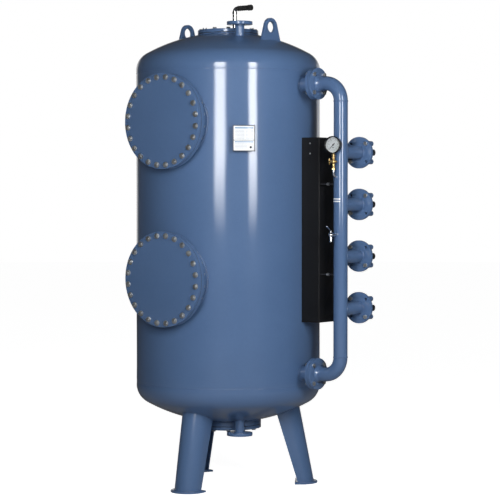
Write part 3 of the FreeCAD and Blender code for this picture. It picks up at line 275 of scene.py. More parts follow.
def mottle_effect():
    """A mask from 0 to 1 that wanders over the surface, broad and fine."""
    group, start, end, place = effect("mottle", ["Mask"], [("Scale", 3.0), ("Fine Share", 0.3)])
    broad = noise(group, place, start.outputs["Scale"], 3.0)
    fine = noise(group, place, maths(group, "MULTIPLY", start.outputs["Scale"], 22.0), 2.0)
    mix = maths(group, "ADD", maths(group, "MULTIPLY", fine, start.outputs["Fine Share"]), broad)
    join(group, spread(group, mix, 0.35, 0.95, 0.0, 1.0), end.inputs["Mask"])
    return group


def ripple_effect():
    """The height of a skin in metres: fine peel and a slower wave."""
    group, start, end, place = effect(
        "ripple", ["Height"], [("Peel Scale", 160.0), ("Peel", 0.00003), ("Wave", 0.0001)]
    )
    peel = maths(group, "MULTIPLY", noise(group, place, start.outputs["Peel Scale"]), start.outputs["Peel"])
    wave = maths(group, "MULTIPLY", noise(group, place, 14.0, 1.0), start.outputs["Wave"])
    join(group, maths(group, "ADD", peel, wave), end.inputs["Height"])
    return group


MOTTLE = mottle_effect()
RIPPLE = ripple_effect()
print("shared effects:", MOTTLE.name, RIPPLE.name)


# %% [markdown]
# One recipe makes every opaque finish. It mixes a light and a dark shade by the mottle mask, lets
# the same mask move the roughness, and bumps the surface by the ripple. What differs between
# enamel, zinc, brass and rubber is only the numbers.
# %% Finish recipe
def finish(name, light, dark, rough, metal=0.0, coat=0.0, scale=3.0, fine=0.3,
           peel_scale=160.0, peel=0.00003, wave=0.0, coat_rough=0.06, specular=0.5):
    material = bpy.data.materials.new(name)
    material.use_nodes = True
    tree = material.node_tree
    shader = tree.nodes["Principled BSDF"]
    mottle = tree.nodes.new("ShaderNodeGroup")
    mottle.node_tree = MOTTLE
    mottle.inputs["Scale"].default_value = scale
    mottle.inputs["Fine Share"].default_value = fine
    shade = tree.nodes.new("ShaderNodeMix")
    shade.data_type = "RGBA"
    shade.inputs["A"].default_value = (*dark, 1)
    shade.inputs["B"].default_value = (*light, 1)
    join(tree, mottle.outputs["Mask"], shade.inputs["Factor"])
    join(tree, shade.outputs["Result"], shader.inputs["Base Color"])
    join(tree, spread(tree, mottle.outputs["Mask"], 0.0, 1.0, rough[0], rough[1]),
         shader.inputs["Roughness"])
    ripple = tree.nodes.new("ShaderNodeGroup")
    ripple.node_tree = RIPPLE
    for label, value in (("Peel Scale", peel_scale), ("Peel", peel), ("Wave", wave)):
        ripple.inputs[label].default_value = value
    bump = add(tree, "ShaderNodeBump", Strength=1.0, Distance=1.0)
    join(tree, ripple.outputs["Height"], bump.inputs["Height"])
    join(tree, bump.outputs["Normal"], shader.inputs["Normal"])
    shader.inputs["Metallic"].default_value = metal
    shader.inputs["Coat Weight"].default_value = coat
    shader.inputs["Coat Roughness"].default_value = coat_rough
    shader.inputs["Specular IOR Level"].default_value = specular
    return material


BLUE = finish("blue_enamel", (0.083, 0.150, 0.292), (0.075, 0.137, 0.268), (0.34, 0.42), coat=0.9,
              scale=2.2, peel_scale=140.0, peel=0.000015, wave=0.00030, coat_rough=0.06, specular=0.15)
WELD = finish("painted_weld", (0.083, 0.150, 0.292), (0.060, 0.112, 0.228), (0.28, 0.38), coat=0.8,
              scale=9.0, peel_scale=400.0, peel=0.00002, coat_rough=0.07, specular=0.2)
ZINC = finish("zinc", (0.50, 0.52, 0.53), (0.30, 0.31, 0.32), (0.30, 0.52), metal=0.85,
              scale=30.0, peel_scale=700.0, peel=0.00001)
RUBBER = finish("rubber", (0.020, 0.020, 0.021), (0.012, 0.012, 0.013), (0.65, 0.85),
                scale=12.0, peel_scale=500.0, peel=0.00003)
POWDER = finish("powder_coat", (0.0062, 0.0065, 0.0076), (0.0048, 0.0050, 0.0060), (0.42, 0.52),
                scale=4.0, peel_scale=900.0, peel=0.00002, wave=0.00005, specular=0.25)
IRON = finish("coated_iron", (0.018, 0.019, 0.022), (0.010, 0.010, 0.012), (0.42, 0.62),
              scale=20.0, peel_scale=380.0, peel=0.00008)
CASTING = finish("grey_casting", (0.26, 0.27, 0.29), (0.19, 0.20, 0.22), (0.45, 0.60), metal=0.3,
                 scale=14.0, peel_scale=420.0, peel=0.00006)
GLOSS_BLACK = finish("gloss_black", (0.010, 0.010, 0.011), (0.007, 0.007, 0.008), (0.16, 0.24),
                     coat=0.4, scale=10.0, peel=0.0)
MOULDED = finish("black_plastic", (0.016, 0.016, 0.017), (0.010, 0.010, 0.011), (0.40, 0.55),
                 scale=20.0, peel_scale=800.0, peel=0.00002)
BRASS = finish("brass", (0.83, 0.60, 0.27), (0.60, 0.38, 0.13), (0.20, 0.36), metal=1.0,
               scale=40.0, peel_scale=600.0, peel=0.00002)
CHROME = finish("chrome", (0.78, 0.79, 0.80), (0.70, 0.71, 0.72), (0.07, 0.15), metal=1.0,
                scale=25.0, peel=0.0)
WHITE = finish("white_print", (0.80, 0.81, 0.82), (0.74, 0.76, 0.78), (0.35, 0.45),
               scale=15.0, peel=0.0, coat=0.2)
INK = finish("dark_ink", (0.030, 0.034, 0.045), (0.022, 0.024, 0.032), (0.5, 0.6), scale=30.0, peel=0.0)
PALE_INK = finish("pale_ink", (0.34, 0.39, 0.47), (0.28, 0.33, 0.41), (0.5, 0.6), scale=30.0, peel=0.0)
BLUE_INK = finish("blue_ink", (0.22, 0.36, 0.56), (0.19, 0.32, 0.50), (0.5, 0.6), scale=30.0, peel=0.0)
FRAME_DARK = finish("plate_frame", (0.045, 0.062, 0.10), (0.034, 0.047, 0.08), (0.35, 0.45),
                    scale=15.0, peel=0.00002)
STAINLESS = finish("stainless", (0.55, 0.55, 0.54), (0.42, 0.42, 0.42), (0.28, 0.42), metal=1.0,
                   scale=10.0, peel_scale=500.0, peel=0.00002)
NATURAL = finish("strainer_plastic", (0.70, 0.69, 0.62), (0.60, 0.59, 0.52), (0.45, 0.60), scale=25.0)
GRAVEL = finish("gravel", (0.48, 0.43, 0.36), (0.16, 0.14, 0.12), (0.75, 0.95), scale=90.0, fine=0.8,
                peel_scale=160.0, peel=0.006)
SAND = finish("sand", (0.66, 0.55, 0.38), (0.40, 0.32, 0.21), (0.8, 0.95), scale=400.0, fine=0.8,
              peel_scale=1500.0, peel=0.0008)
print("finishes:", len([m for m in bpy.data.materials if m.use_nodes]))


# %% [markdown]
# The gauge has a clear window. Clear glass keeps a plain transmission weight, so that the dial
# shows through it in any renderer.
# %% Glass
def clear_glass():
    material = bpy.data.materials.new("clear_glass")
    material.use_nodes = True
    tree = material.node_tree
    shader = tree.nodes["Principled BSDF"]
    smear = noise(tree, tree.nodes.new("ShaderNodeTexCoord").outputs["Object"], 60.0)
    join(tree, spread(tree, smear, 0.3, 0.8, 0.0, 0.06), shader.inputs["Roughness"])
    shader.inputs["Base Color"].default_value = (0.96, 0.98, 0.98, 1)
    shader.inputs["Transmission Weight"].default_value = 1.0
    shader.inputs["IOR"].default_value = 1.12
    return material


GLASS = clear_glass()
print("glass ready")

# %% [markdown]
# ## Shop tools
# Most of this object is turned, bent, cut from plate or welded. So there are four tools: a lathe,
# a pipe bender, a plate cutter and a welder. Each returns a mesh in metres.
# %% Mesh helpers
def settle(mesh, sharp=30.0):
    """Merge doubles, point the faces outwards and mark the hard edges."""
    cage = bmesh.new()
    cage.from_mesh(mesh)
    bmesh.ops.remove_doubles(cage, verts=cage.verts, dist=1e-6)
    bmesh.ops.dissolve_degenerate(cage, edges=cage.edges, dist=1e-7)
    bmesh.ops.recalc_face_normals(cage, faces=cage.faces)
    cage.to_mesh(mesh)
    cage.free()
    mesh.shade_smooth()
    mesh.set_sharp_from_angle(angle=math.radians(sharp))
    return mesh


def raw_mesh(name, points, faces, sharp=30.0):
    mesh = bpy.data.meshes.new(name)
    mesh.from_pydata([tuple(p) for p in points], [], faces)
    return settle(mesh, sharp)


def band(loops, width, closed=False, wrap=True):
    """Faces between neighbouring loops of points, each of them width points long."""
    faces = []
    for span in range(loops if closed else loops - 1):
        near, far = span * width, (span + 1) % loops * width
        for step in range(width if wrap else width - 1):
            beside = (step + 1) % width
            faces.append((near + step, near + beside, far + beside, far + step))
    return faces


def placed(mesh, at=(0, 0, 0), toward=(0, 0, 1), spin=0.0):
    """The mesh with its own +Z turned to a direction and its origin moved to a place."""
    turned = Vector(toward).to_track_quat("Z", "Y").to_matrix().to_4x4()
    mesh.transform(Matrix.Translation(Vector(at)) @ turned @ Matrix.Rotation(spin, 4, "Z"))
    return mesh


def assemble(name, parts, body, nodes=()):
    """One piece from several meshes, each with its own material."""
    cage = bmesh.new()
    materials = []
    for mesh, material in parts:
        if material not in materials:
            materials.append(material)
        first = len(cage.faces)
        cage.from_mesh(mesh)
        cage.faces.ensure_lookup_table()
        for face in cage.faces[first:]:
            face.material_index = materials.index(material)
    joined = bpy.data.meshes.new(name)
    cage.to_mesh(joined)
    cage.free()
    for material in materials:
        joined.materials.append(material)
    piece = bpy.data.objects.new(name, joined)
    scene.collection.objects.link(piece)
    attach(piece, body)
    if nodes:
        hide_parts(*nodes)
    print(name, len(joined.polygons), "faces")
    return piece


def painted(name, parts, node):
    """A piece of the tank's own painted steel."""
    return assemble(name, parts, "vessel", [node])


# %% Lathe
def rounded(outline, radius=0.002, steps=3):
    """The same outline, with each corner that is off the axis rounded."""
    result = []
    for order, corner in enumerate(outline):
        here = Vector(corner)
        before = Vector(outline[order - 1])
        after = Vector(outline[(order + 1) % len(outline)])
        if here.x < 1e-6:
            result.append(here)
            continue
        reach = min(radius, (before - here).length * 0.45, (after - here).length * 0.45)
        start = here + (before - here).normalized() * reach
        stop = here + (after - here).normalized() * reach
        for step in range(steps + 1):
            share = step / steps
            result.append(start.lerp(here, share).lerp(here.lerp(stop, share), share))
    return result


def lathe(outline, steps=64, sharp=30.0):
    """Turn a closed outline of (radius, height) round +Z."""
    points = [(*polar(radius, math.tau * step / steps), height)
              for step in range(steps) for radius, height in outline]
    return raw_mesh("turned", points, band(steps, len(outline), closed=True), sharp)


def disc(radius, thickness, edge=0.002, steps=64):
    return lathe(rounded([(0, 0), (radius, 0), (radius, thickness), (0, thickness)], edge), steps)


def ring(outer, inner, thickness, edge=0.002, steps=64):
    return lathe(rounded([(inner, 0), (outer, 0), (outer, thickness), (inner, thickness)], edge), steps)


# %% Pipe bender
def along(points, closed=False):
    """A frame at each point of a path, carried along it without twist."""
    count = len(points)
    frames = []
    side = None
    for order, point in enumerate(points):
        before = points[order - 1] if order or closed else point
        after = points[(order + 1) % count] if order < count - 1 or closed else point
        forward = (after - before).normalized()
        if side is None:
            side = forward.orthogonal().normalized()
        side = (side - forward * side.dot(forward)).normalized()
        frames.append((point, side, forward.cross(side)))
    return frames


def sweep(points, radii, sides=16, closed=False, sharp=40.0):
    """A round bar along a path. The radius may change from point to point."""
    frames = along(points, closed)
    if not isinstance(radii, list):
        radii = [radii] * len(points)
    verts = []
    for (point, side, up), radius in zip(frames, radii):
        for step in range(sides):
            across, above = polar(radius, math.tau * step / sides)
            verts.append(point + side * across + up * above)
    faces = band(len(points), sides, closed)
    if not closed:
        faces.append(tuple(range(sides)))
        last = (len(points) - 1) * sides
        faces.append(tuple(last + step for step in range(sides)))
    return raw_mesh("swept", verts, faces, sharp)


def arc(centre, first, second, radius, steps=12, span=90.0):
    """Points from centre + first * radius, turning towards second."""
    return [
        centre + (first * math.cos(math.radians(span * s / steps))
                  + second * math.sin(math.radians(span * s / steps))) * radius
        for s in range(steps + 1)
    ]


# %% Welder
BEAD = 0.006
BEAD_PITCH = 0.0085


def spaced(points, gap, closed):
    """The same path with points an even gap apart."""
    path = points + [points[0]] if closed else points
    lengths = [0.0]
    for start, stop in zip(path, path[1:]):
        lengths.append(lengths[-1] + (stop - start).length)
    count = max(4, round(lengths[-1] / gap))
    result = []
    span = 0
    for order in range(count if closed else count + 1):
        wanted = lengths[-1] * order / count
        while span < len(path) - 2 and lengths[span + 1] < wanted:
            span += 1
        share = (wanted - lengths[span]) / max(lengths[span + 1] - lengths[span], 1e-9)
        result.append(path[span].lerp(path[span + 1], share))
    return result


def bead(points, radius=BEAD, pitch=BEAD_PITCH, closed=True, sides=8):
    """A weld: a rounded seam with the ripples that each dip of the wire leaves."""
    path = spaced(points, pitch / 3, closed)
    swell = [radius * (1.0, 0.90, 0.80)[order % 3] for order in range(len(path))]
    return sweep(path, swell, sides, closed, sharp=80.0)


def circle(centre, first, second, radius, steps=96):
    return arc(centre, first, second, radius, steps, 360.0)[:-1]


print("tools: lathe, pipe bender and welder")


# %% [markdown]
# The plate cutter draws the plate's edge and its holes as flat closed curves. Blender fills a flat
# curve between its loops, and its own extrude and bevel give the thickness and the eased edges.
# %% Plate cutter
def loop_points(radius, centre=(0.0, 0.0), steps=48):
    spots = [polar(radius, math.tau * s / steps) for s in range(steps)]
    return [(centre[0] + x, centre[1] + y) for x, y in spots]


def cut_plate(loops, thickness, edge=0.0012):
    """A plate from z = 0 up to its thickness, from an outside loop and hole loops."""
    curve = bpy.data.curves.new("plate", "CURVE")
    curve.dimensions = "2D"
    curve.fill_mode = "BOTH"
    curve.extrude = thickness / 2 - edge
    curve.bevel_depth = edge
    curve.bevel_resolution = 1
    curve.offset = -edge
    for loop in loops:
        spline = curve.splines.new("POLY")
        spline.points.add(len(loop) - 1)
        spline.use_cyclic_u = True
        for point, place in zip(spline.points, loop):
            point.co = (*place, 0, 1)
    maker = bpy.data.objects.new("plate", curve)
    scene.collection.objects.link(maker)
    ready = maker.evaluated_get(bpy.context.evaluated_depsgraph_get())
    mesh = bpy.data.meshes.new_from_object(ready)
    bpy.data.objects.remove(maker)
    mesh.transform(Matrix.Translation((0, 0, thickness / 2)))
    mesh.materials.clear()
    return settle(mesh)


def hole_circle(circle_radius, hole_radius, angles, steps=20):
    return [loop_points(hole_radius, polar(circle_radius, math.radians(a)), steps) for a in angles]


print("plate cutter ready")


# %% [markdown]
# ## Fasteners
# A bolt circle repeats one fastener, so Geometry Nodes lay it out. The tree takes one fastener as
# its geometry, puts a copy on each point of a circle, and turns each copy by its own random
# angle, as a fitter leaves them. The seed is fixed, so every build is the same. What every such
# tree needs comes first: its inputs, the copies made real and painted, and the finished mesh.
# %% Geometry trees
def new_tree(name, inputs):
    """An empty tree with named inputs, and the identifier of each of them."""
    tree = bpy.data.node_groups.new(name, "GeometryNodeTree")
    face = tree.interface
    face.new_socket("Geometry", in_out="OUTPUT", socket_type="NodeSocketGeometry")
    sockets = {}
    for label, kind in inputs.items():
        socket = face.new_socket(label, in_out="INPUT", socket_type=f"NodeSocket{kind}")
        sockets[label] = socket.identifier
    return tree, tree.nodes.new("NodeGroupInput"), sockets


def combine(tree, **axes):
    """A vector with the given axes. The others are zero."""
    node = tree.nodes.new("ShaderNodeCombineXYZ")
    for axis, value in axes.items():
        if isinstance(value, bpy.types.NodeSocket):
            join(tree, value, node.inputs[axis])
        else:
            node.inputs[axis].default_value = value
    return node.outputs[0]


def lay_copies(tree, start, **inputs):
    """Put the tree's first input on every point, make the copies real and paint them."""
    copies = tree.nodes.new("GeometryNodeInstanceOnPoints")
    join(tree, start.outputs[0], copies.inputs["Instance"])
    for label, source in inputs.items():
        join(tree, source, copies.inputs[label])
    real = tree.nodes.new("GeometryNodeRealizeInstances")
    join(tree, copies.outputs[0], real.inputs[0])
    paint = tree.nodes.new("GeometryNodeSetMaterial")
    join(tree, real.outputs[0], paint.inputs["Geometry"])
    join(tree, start.outputs["Material"], paint.inputs["Material"])
    join(tree, paint.outputs[0], tree.nodes.new("NodeGroupOutput").inputs[0])


def grown(part, tree, sockets, values):
    """The part run through a tree, as one plain mesh."""
    maker = bpy.data.objects.new(tree.name, part)
    scene.collection.objects.link(maker)
    modifier = maker.modifiers.new(tree.name, "NODES")
    modifier.node_group = tree
    for label, value in values.items():
        modifier[sockets[label]] = value
    maker.update_tag()
    ready = maker.evaluated_get(bpy.context.evaluated_depsgraph_get())
    mesh = bpy.data.meshes.new_from_object(ready)
    maker.modifiers.clear()
    bpy.data.objects.remove(maker)
    mesh.materials.clear()
    return mesh


# %% Ring of parts
def ring_tree():
    tree, start, sockets = new_tree("ring_of_parts", {
        "Part": "Geometry", "Count": "Int", "Radius": "Float", "First": "Float",
        "Loose": "Float", "Seed": "Int", "Material": "Material",
    })
    points = tree.nodes.new("GeometryNodeMeshCircle")
    join(tree, start.outputs["Count"], points.inputs["Vertices"])
    join(tree, start.outputs["Radius"], points.inputs["Radius"])
    turned = tree.nodes.new("GeometryNodeTransform")
    join(tree, points.outputs["Mesh"], turned.inputs["Geometry"])
    join(tree, combine(tree, Z=start.outputs["First"]), turned.inputs["Rotation"])
    chance = tree.nodes.new("FunctionNodeRandomValue")
    join(tree, start.outputs["Loose"], chance.inputs[3])
    join(tree, start.outputs["Seed"], chance.inputs["Seed"])
    lay_copies(tree, start, Points=turned.outputs[0], Rotation=combine(tree, Z=chance.outputs[1]))
    return tree, sockets


RING_TREE, RING_INPUTS = ring_tree()


def ring_of(part, count, radius, first, material, seed=1, loose=math.tau):
    """The part repeated round a circle about +Z."""
    return grown(part, RING_TREE, RING_INPUTS, {
        "Count": count, "Radius": radius, "First": math.radians(first), "Loose": loose,
        "Seed": seed, "Material": material,
    })


print("ring tree inputs:", sorted(RING_INPUTS))


# %% [markdown]
# A hexagon head is chamfered by turning it, so each flat ends in a curved edge. Its outline is
# worked out from the hexagon's radius at each angle, lowered where it passes the chamfer circle.
# %% Hexagon
def hexagon(key, height, bore=0.0, base=0.0, samples=36):
    points = []
    faces = []
    inner = key * 0.475
    levels = 4
    for step in range(samples):
        around = math.tau * step / samples
        within = (math.degrees(around) + 30.0) % 60.0 - 30.0
        reach = key / 2 / math.cos(math.radians(within))
        drop = max(0.0, reach - inner) * 0.55
        for radius, level in ((bore, base), (reach, base), (reach, base + height - drop),
                              (inner, base + height)):
            points.append((*polar(radius, around), level))
        if bore:
            points.append((*polar(bore, around), base + height))
    if bore:
        levels = 5
    else:
        points.append((0, 0, base + height))
    for step in range(samples):
        ahead = (step + 1) % samples
        a, b = step * levels, ahead * levels
        for level in range(levels - 1):
            faces.append((a + level, b + level, b + level + 1, a + level + 1))
        if bore:
            faces.append((a + 4, b + 4, b, a))
        else:
            faces.append((a + 3, b + 3, len(points) - 1))
    return raw_mesh("hexagon", points, faces, 22.0)


def joined_mesh(*meshes):
    cage = bmesh.new()
    for mesh in meshes:
        cage.from_mesh(mesh)
    result = bpy.data.meshes.new("joined")
    cage.to_mesh(result)
    cage.free()
    return result


def stud_nut(key, thread, height):
    """A washer, a nut and the rounded end of the thread, standing on z = 0."""
    washer = disc(key * 0.60, height * 0.16, 0.0004, 28)
    nut = hexagon(key, height * 0.66, 0.0, height * 0.16)
    end = placed(disc(thread / 2, height * 0.20, height * 0.09, 20), (0, 0, height * 0.80))
    return joined_mesh(washer, nut, end)


def bolt_with_shank(key, thread, head, length):
    """A hexagon head above z = 0 and its shank below."""
    shank = placed(disc(thread / 2, length, 0.0008, 20), (0, 0, -length))
    return joined_mesh(hexagon(key, head), shank)


print("nut faces:", len(stud_nut(0.030, 0.020, 0.0125).polygons))

# %% [markdown]
# ## Vessel
# The shell is one rolled plate and the heads are pressed torispheres: a wide crown with a small
# knuckle that turns into the side. Rolled plate is never perfectly round, so the shell gets a
# slow wave about a millimetre deep, which bends the streaks of light. Both seams are welded, and
# each weld draws the plates in a little as it cools.
# %% Vessel sizes
WALL = 0.008
CROWN = 1.100
KNUCKLE = 0.125
STRAIGHT = 0.020
SHRINK = 0.0016        # how far a seam weld draws the plates in as it cools
shell_low, shell_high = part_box("shell")
RADIUS = shell_high.x
LOW_SEAM = shell_low.z
HIGH_SEAM = shell_high.z
knuckle_centre = RADIUS - KNUCKLE
lean = knuckle_centre / (CROWN - KNUCKLE)
crown_centre = STRAIGHT - (CROWN - KNUCKLE) * math.sqrt(1 - lean * lean)


def head_rise(radius):
    """How far the outside of a head stands from its seam at a radius."""
    if radius <= CROWN * lean:
        return crown_centre + math.sqrt(CROWN ** 2 - radius ** 2)
    return STRAIGHT + math.sqrt(max(KNUCKLE ** 2 - (radius - knuckle_centre) ** 2, 0.0))


def head_line(inset, stop, steps=14):
    """The head's section from the seam to the radius where it stops."""
    line = [(RADIUS - inset - SHRINK * math.exp(-((rise / 0.012) ** 2)), rise)
            for rise in (0.0, 0.005, 0.010, 0.015, STRAIGHT)]
    bend = math.asin(lean)
    for step in range(1, steps + 1):
        around = math.pi / 2 - (math.pi / 2 - bend) * step / steps
        line.append((knuckle_centre + (KNUCKLE - inset) * math.sin(around),
                     STRAIGHT + (KNUCKLE - inset) * math.cos(around)))
    crown = CROWN - inset
    edge = math.asin(stop / crown)
    for step in range(1, steps + 1):
        around = bend - (bend - edge) * step / steps
        line.append((crown * math.sin(around), crown_centre + crown * math.cos(around)))
    return line


def head(name, node, seam, toward, stop):
    section = head_line(0.0, stop) + head_line(WALL, stop)[::-1]
    mesh = placed(lathe(section, 160, 40.0), (0, 0, seam), (0, 0, toward))
    return painted(name, [(mesh, BLUE)], node)


top_pad_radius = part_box("top_hand_hole_pad")[1].x
bottom_pad_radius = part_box("bottom_hand_hole_pad")[1].x
head("top_dish", "top_head", HIGH_SEAM, 1, top_pad_radius - 0.001)
head("bottom_dish", "bottom_head", LOW_SEAM, -1, bottom_pad_radius - 0.001)


# %% Shell
def rolled_shell(rows=90, steps=192, depth=0.0009):
    tall = HIGH_SEAM - LOW_SEAM
    levels = [0.0, 0.005, 0.010, 0.016] + [tall * r / rows for r in range(1, rows)]
    levels += [tall - 0.016, tall - 0.010, tall - 0.005, tall]
    outer = [(RADIUS, LOW_SEAM + level) for level in levels]
    mesh = lathe(outer + [(r - WALL, z) for r, z in outer[::-1]], steps, 40.0)
    for vertex in mesh.vertices:
        around = math.atan2(vertex.co.y, vertex.co.x)
        level = vertex.co.z
        wave = math.sin(3 * around + 1.4 * level + 0.6) * math.sin(5.2 * level + 1.1)
        wave += 0.5 * math.sin(7 * around - 3.0 * level) * math.sin(9.0 * level)
        near = min(level - LOW_SEAM, HIGH_SEAM - level)
        fade = min(1.0, max(0.0, near / 0.1))
        reach = math.hypot(vertex.co.x, vertex.co.y)
        drawn = SHRINK * math.exp(-((near / 0.012) ** 2))
        share = 1.0 - (depth * (1.5 - wave) * fade * 0.6 + drawn) / reach
        vertex.co.x *= share
        vertex.co.y *= share
    return mesh


seams = [(bead(circle(Vector((0, 0, level)), X, Y, RADIUS - BEAD, 240)), WELD)
         for level in (LOW_SEAM, HIGH_SEAM)]
painted("tank_shell", [(rolled_shell(), BLUE)] + seams, "shell")
print("shell radius", round(RADIUS, 3), "seams at", round(LOW_SEAM, 3), round(HIGH_SEAM, 3))


# %% Joints on the shell
def on_shell(level, radius, axis, steps=120):
    """Where a round pipe along X or -Y meets the shell."""
    across = Y if abs(axis.x) > 0.5 else X
    points = []
    for step in range(steps):
        side, above = polar(radius, math.tau * step / steps)
        reach = math.sqrt(RADIUS ** 2 - side ** 2)
        points.append(axis * reach + across * side + Z * (level + above))
    return points


# %% [markdown]
# ## Manways
# A manway is a short wide neck with a ring flange, a thin gasket and a blind cover, held by
# twenty-four studs. The cover's edge is turned and eased, and the neck is welded to the shell.
# %% Manways
MANWAY_KEY = 0.030
MANWAY_THREAD = 0.020
MANWAY_STUDS = 24
MANWAY_CIRCLE = 0.275
MANWAY_FIRST = 7.5     # degrees from the level line to the first stud
MANWAY_NUT = 0.019
NECK = 0.254
NECK_BORE = NECK - 0.009
NECK_END = 0.50        # how far from the tank's axis the neck ends, inside the shell


def manway(label, seed):
    low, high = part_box(f"{label}_cover")
    level = (low.z + high.z) / 2
    radius = (high.z - low.z) / 2
    front, gasket = low.y, high.y
    flange_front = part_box(f"{label}_neck")[0].y
    flange_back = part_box("manway_gaskets")[1].y + 0.028
    cover = placed(disc(radius, gasket - front, 0.0035, 128), (0, gasket, level), -Y)
    painted(f"{label}_lid", [(cover, BLUE)], f"{label}_cover")
    flange = ring(radius, NECK_BORE, flange_back - flange_front, 0.003, 128)
    pipe = ring(NECK, NECK_BORE, -flange_back - NECK_END, 0.001, 128)
    seam = bead(on_shell(level, NECK + 0.001, -Y), 0.008, 0.010)
    fillet = bead(circle(Vector((0, flange_back + 0.001, level)), X, Z, NECK + 0.001), 0.006)
    painted(f"{label}_branch", [
        (placed(flange, (0, flange_back, level), -Y), BLUE),
        (placed(pipe, (0, -NECK_END, level), -Y), BLUE), (seam, WELD), (fillet, WELD),
    ], f"{label}_neck")

    def studs(height, offset):
        nut = stud_nut(MANWAY_KEY, MANWAY_THREAD, height)
        return ring_of(nut, MANWAY_STUDS, MANWAY_CIRCLE, MANWAY_FIRST, ZINC, seed + offset)
    heads = placed(studs(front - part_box("manway_bolts")[0].y, 0), (0, front, level), -Y)
    nuts = placed(studs(MANWAY_NUT, 5), (0, flange_back, level), Y)
    seal = ring(radius - 0.0015, NECK_BORE, flange_front - gasket, 0.0004, 128)
    return heads, nuts, placed(seal, (0, flange_front, level), -Y)


sets = [manway("upper_manway", 3), manway("lower_manway", 11)]
assemble("manway_studs", [(s[0], ZINC) for s in sets], "vessel", ["manway_bolts"])
assemble("manway_back_nuts", [(s[1], ZINC) for s in sets], "vessel", ["manway_nuts"])
assemble("manway_seals", [(s[2], RUBBER) for s in sets], "vessel", ["manway_gaskets"])

# %% [markdown]
# ## Hand holes
# Top and bottom of the tank end in a thick pad let into the head, closed by a bolted cover. The
# pad is welded in, so a bead runs round it where the head meets its side.
# %% Hand holes
SMALL_KEY = 0.024
SMALL_THREAD = 0.016
SMALL_HEAD = 0.010
PAD_BORE = 0.145
PAD_BOLTS = 12
PAD_BOLT = 0.038
NOZZLE_ANGLE = math.degrees(math.atan2(
    sum(v.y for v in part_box("top_nozzle")), sum(v.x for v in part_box("top_nozzle"))
))


def hand_hole(label, seam, side, circle_radius, seed):
    pad_low, pad_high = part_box(f"{label}_pad")
    lid_low, lid_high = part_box(f"{label}_cover")
    outer = pad_high.x
    face = pad_high.z if side > 0 else pad_low.z
    seal = lid_low.z if side > 0 else lid_high.z
    front = lid_high.z if side > 0 else lid_low.z
    up = (0, 0, side)
    pad = ring(outer, PAD_BORE, pad_high.z - pad_low.z, 0.002, 96)
    placed(pad, (0, 0, face - side * (pad_high.z - pad_low.z)), up)
    meet = Vector((0, 0, seam + side * (head_rise(outer) + 0.001)))
    weld = bead(circle(meet, X, Y, outer - 0.001), 0.0055)
    painted(f"{label}_ring", [(pad, BLUE), (weld, WELD)], f"{label}_pad")
    lid = placed(disc(outer, abs(front - seal), 0.003, 96), (0, 0, seal), up)
    painted(f"{label}_lid", [(lid, BLUE)], f"{label}_cover")
    gasket = placed(ring(outer - 0.001, PAD_BORE, abs(seal - face), 0.0004, 96), (0, 0, face), up)
    screw = bolt_with_shank(SMALL_KEY, SMALL_THREAD, SMALL_HEAD, PAD_BOLT)
    first = side * (NOZZLE_ANGLE + 15.0)
    bolts = placed(ring_of(screw, PAD_BOLTS, circle_radius, first, ZINC, seed), (0, 0, front), up)
    return gasket, bolts


lids = [hand_hole("top_hand_hole", HIGH_SEAM, 1, 0.175, 21),
        hand_hole("bottom_hand_hole", LOW_SEAM, -1, 0.190, 22)]
assemble("hand_hole_seals", [(s[0], RUBBER) for s in lids], "vessel", ["hand_hole_gaskets"])
assemble("hand_hole_screws", [(s[1], ZINC) for s in lids], "vessel", ["hand_hole_bolts"])

# %% [markdown]
# ## Flanged nozzles
# Every pipe that leaves the tank ends in a flat flange with four holes. A flange is cut from
# plate and drilled, slipped over the pipe and welded at its back.
# %% Flanges
SQUARE = (45, 135, 225, 315)
PIPE = 0.0889 / 2
PIPE_WALL = 0.0032
FLANGE = 0.100
FLANGE_THICK = 0.020
BOLT_CIRCLE = 0.080
SMALL_PIPE = 0.0603 / 2
SMALL_BORE = SMALL_PIPE - 0.0029
SMALL_FLANGE = 0.0825
SMALL_CIRCLE = 0.0625


def flange_plate(outer, bore, thick, circle_radius, hole=0.009):
    holes = hole_circle(circle_radius, hole, SQUARE)
    return cut_plate([loop_points(outer, steps=96), loop_points(bore, steps=48)] + holes, thick)


def head_nozzle(node, seam, side):
    low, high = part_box(node)
    face = high.z if side > 0 else low.z
    centre = (low + high) / 2
    back = face - side * FLANGE_THICK
    distance = math.hypot(centre.x, centre.y)
    surface = seam + side * head_rise(distance)
    radius = SMALL_PIPE
    start = Vector((centre.x, centre.y, surface - side * 0.03))
    pipe = ring(radius, SMALL_BORE, abs(back - start.z) + 0.004, 0.001, 48)
    plate = flange_plate(SMALL_FLANGE, SMALL_BORE, FLANGE_THICK, SMALL_CIRCLE)
    saddle = []
    for step in range(72):
        across, along_y = polar(radius, math.tau * step / 72)
        x, y = centre.x + across, centre.y + along_y
        saddle.append(Vector((x, y, seam + side * head_rise(math.hypot(x, y)))))
    collar = circle(Vector((centre.x, centre.y, back - side * 0.001)), X, Y, radius + 0.001, 48)
    return painted(f"{node}_branch", [
        (placed(pipe, start, (0, 0, side)), BLUE),
        (placed(plate, (centre.x, centre.y, back), (0, 0, side)), BLUE),
        (bead(saddle, 0.005), WELD), (bead(collar, 0.004), WELD),
    ], node)


head_nozzle("top_nozzle", HIGH_SEAM, 1)
head_nozzle("drain_nozzle", LOW_SEAM, -1)

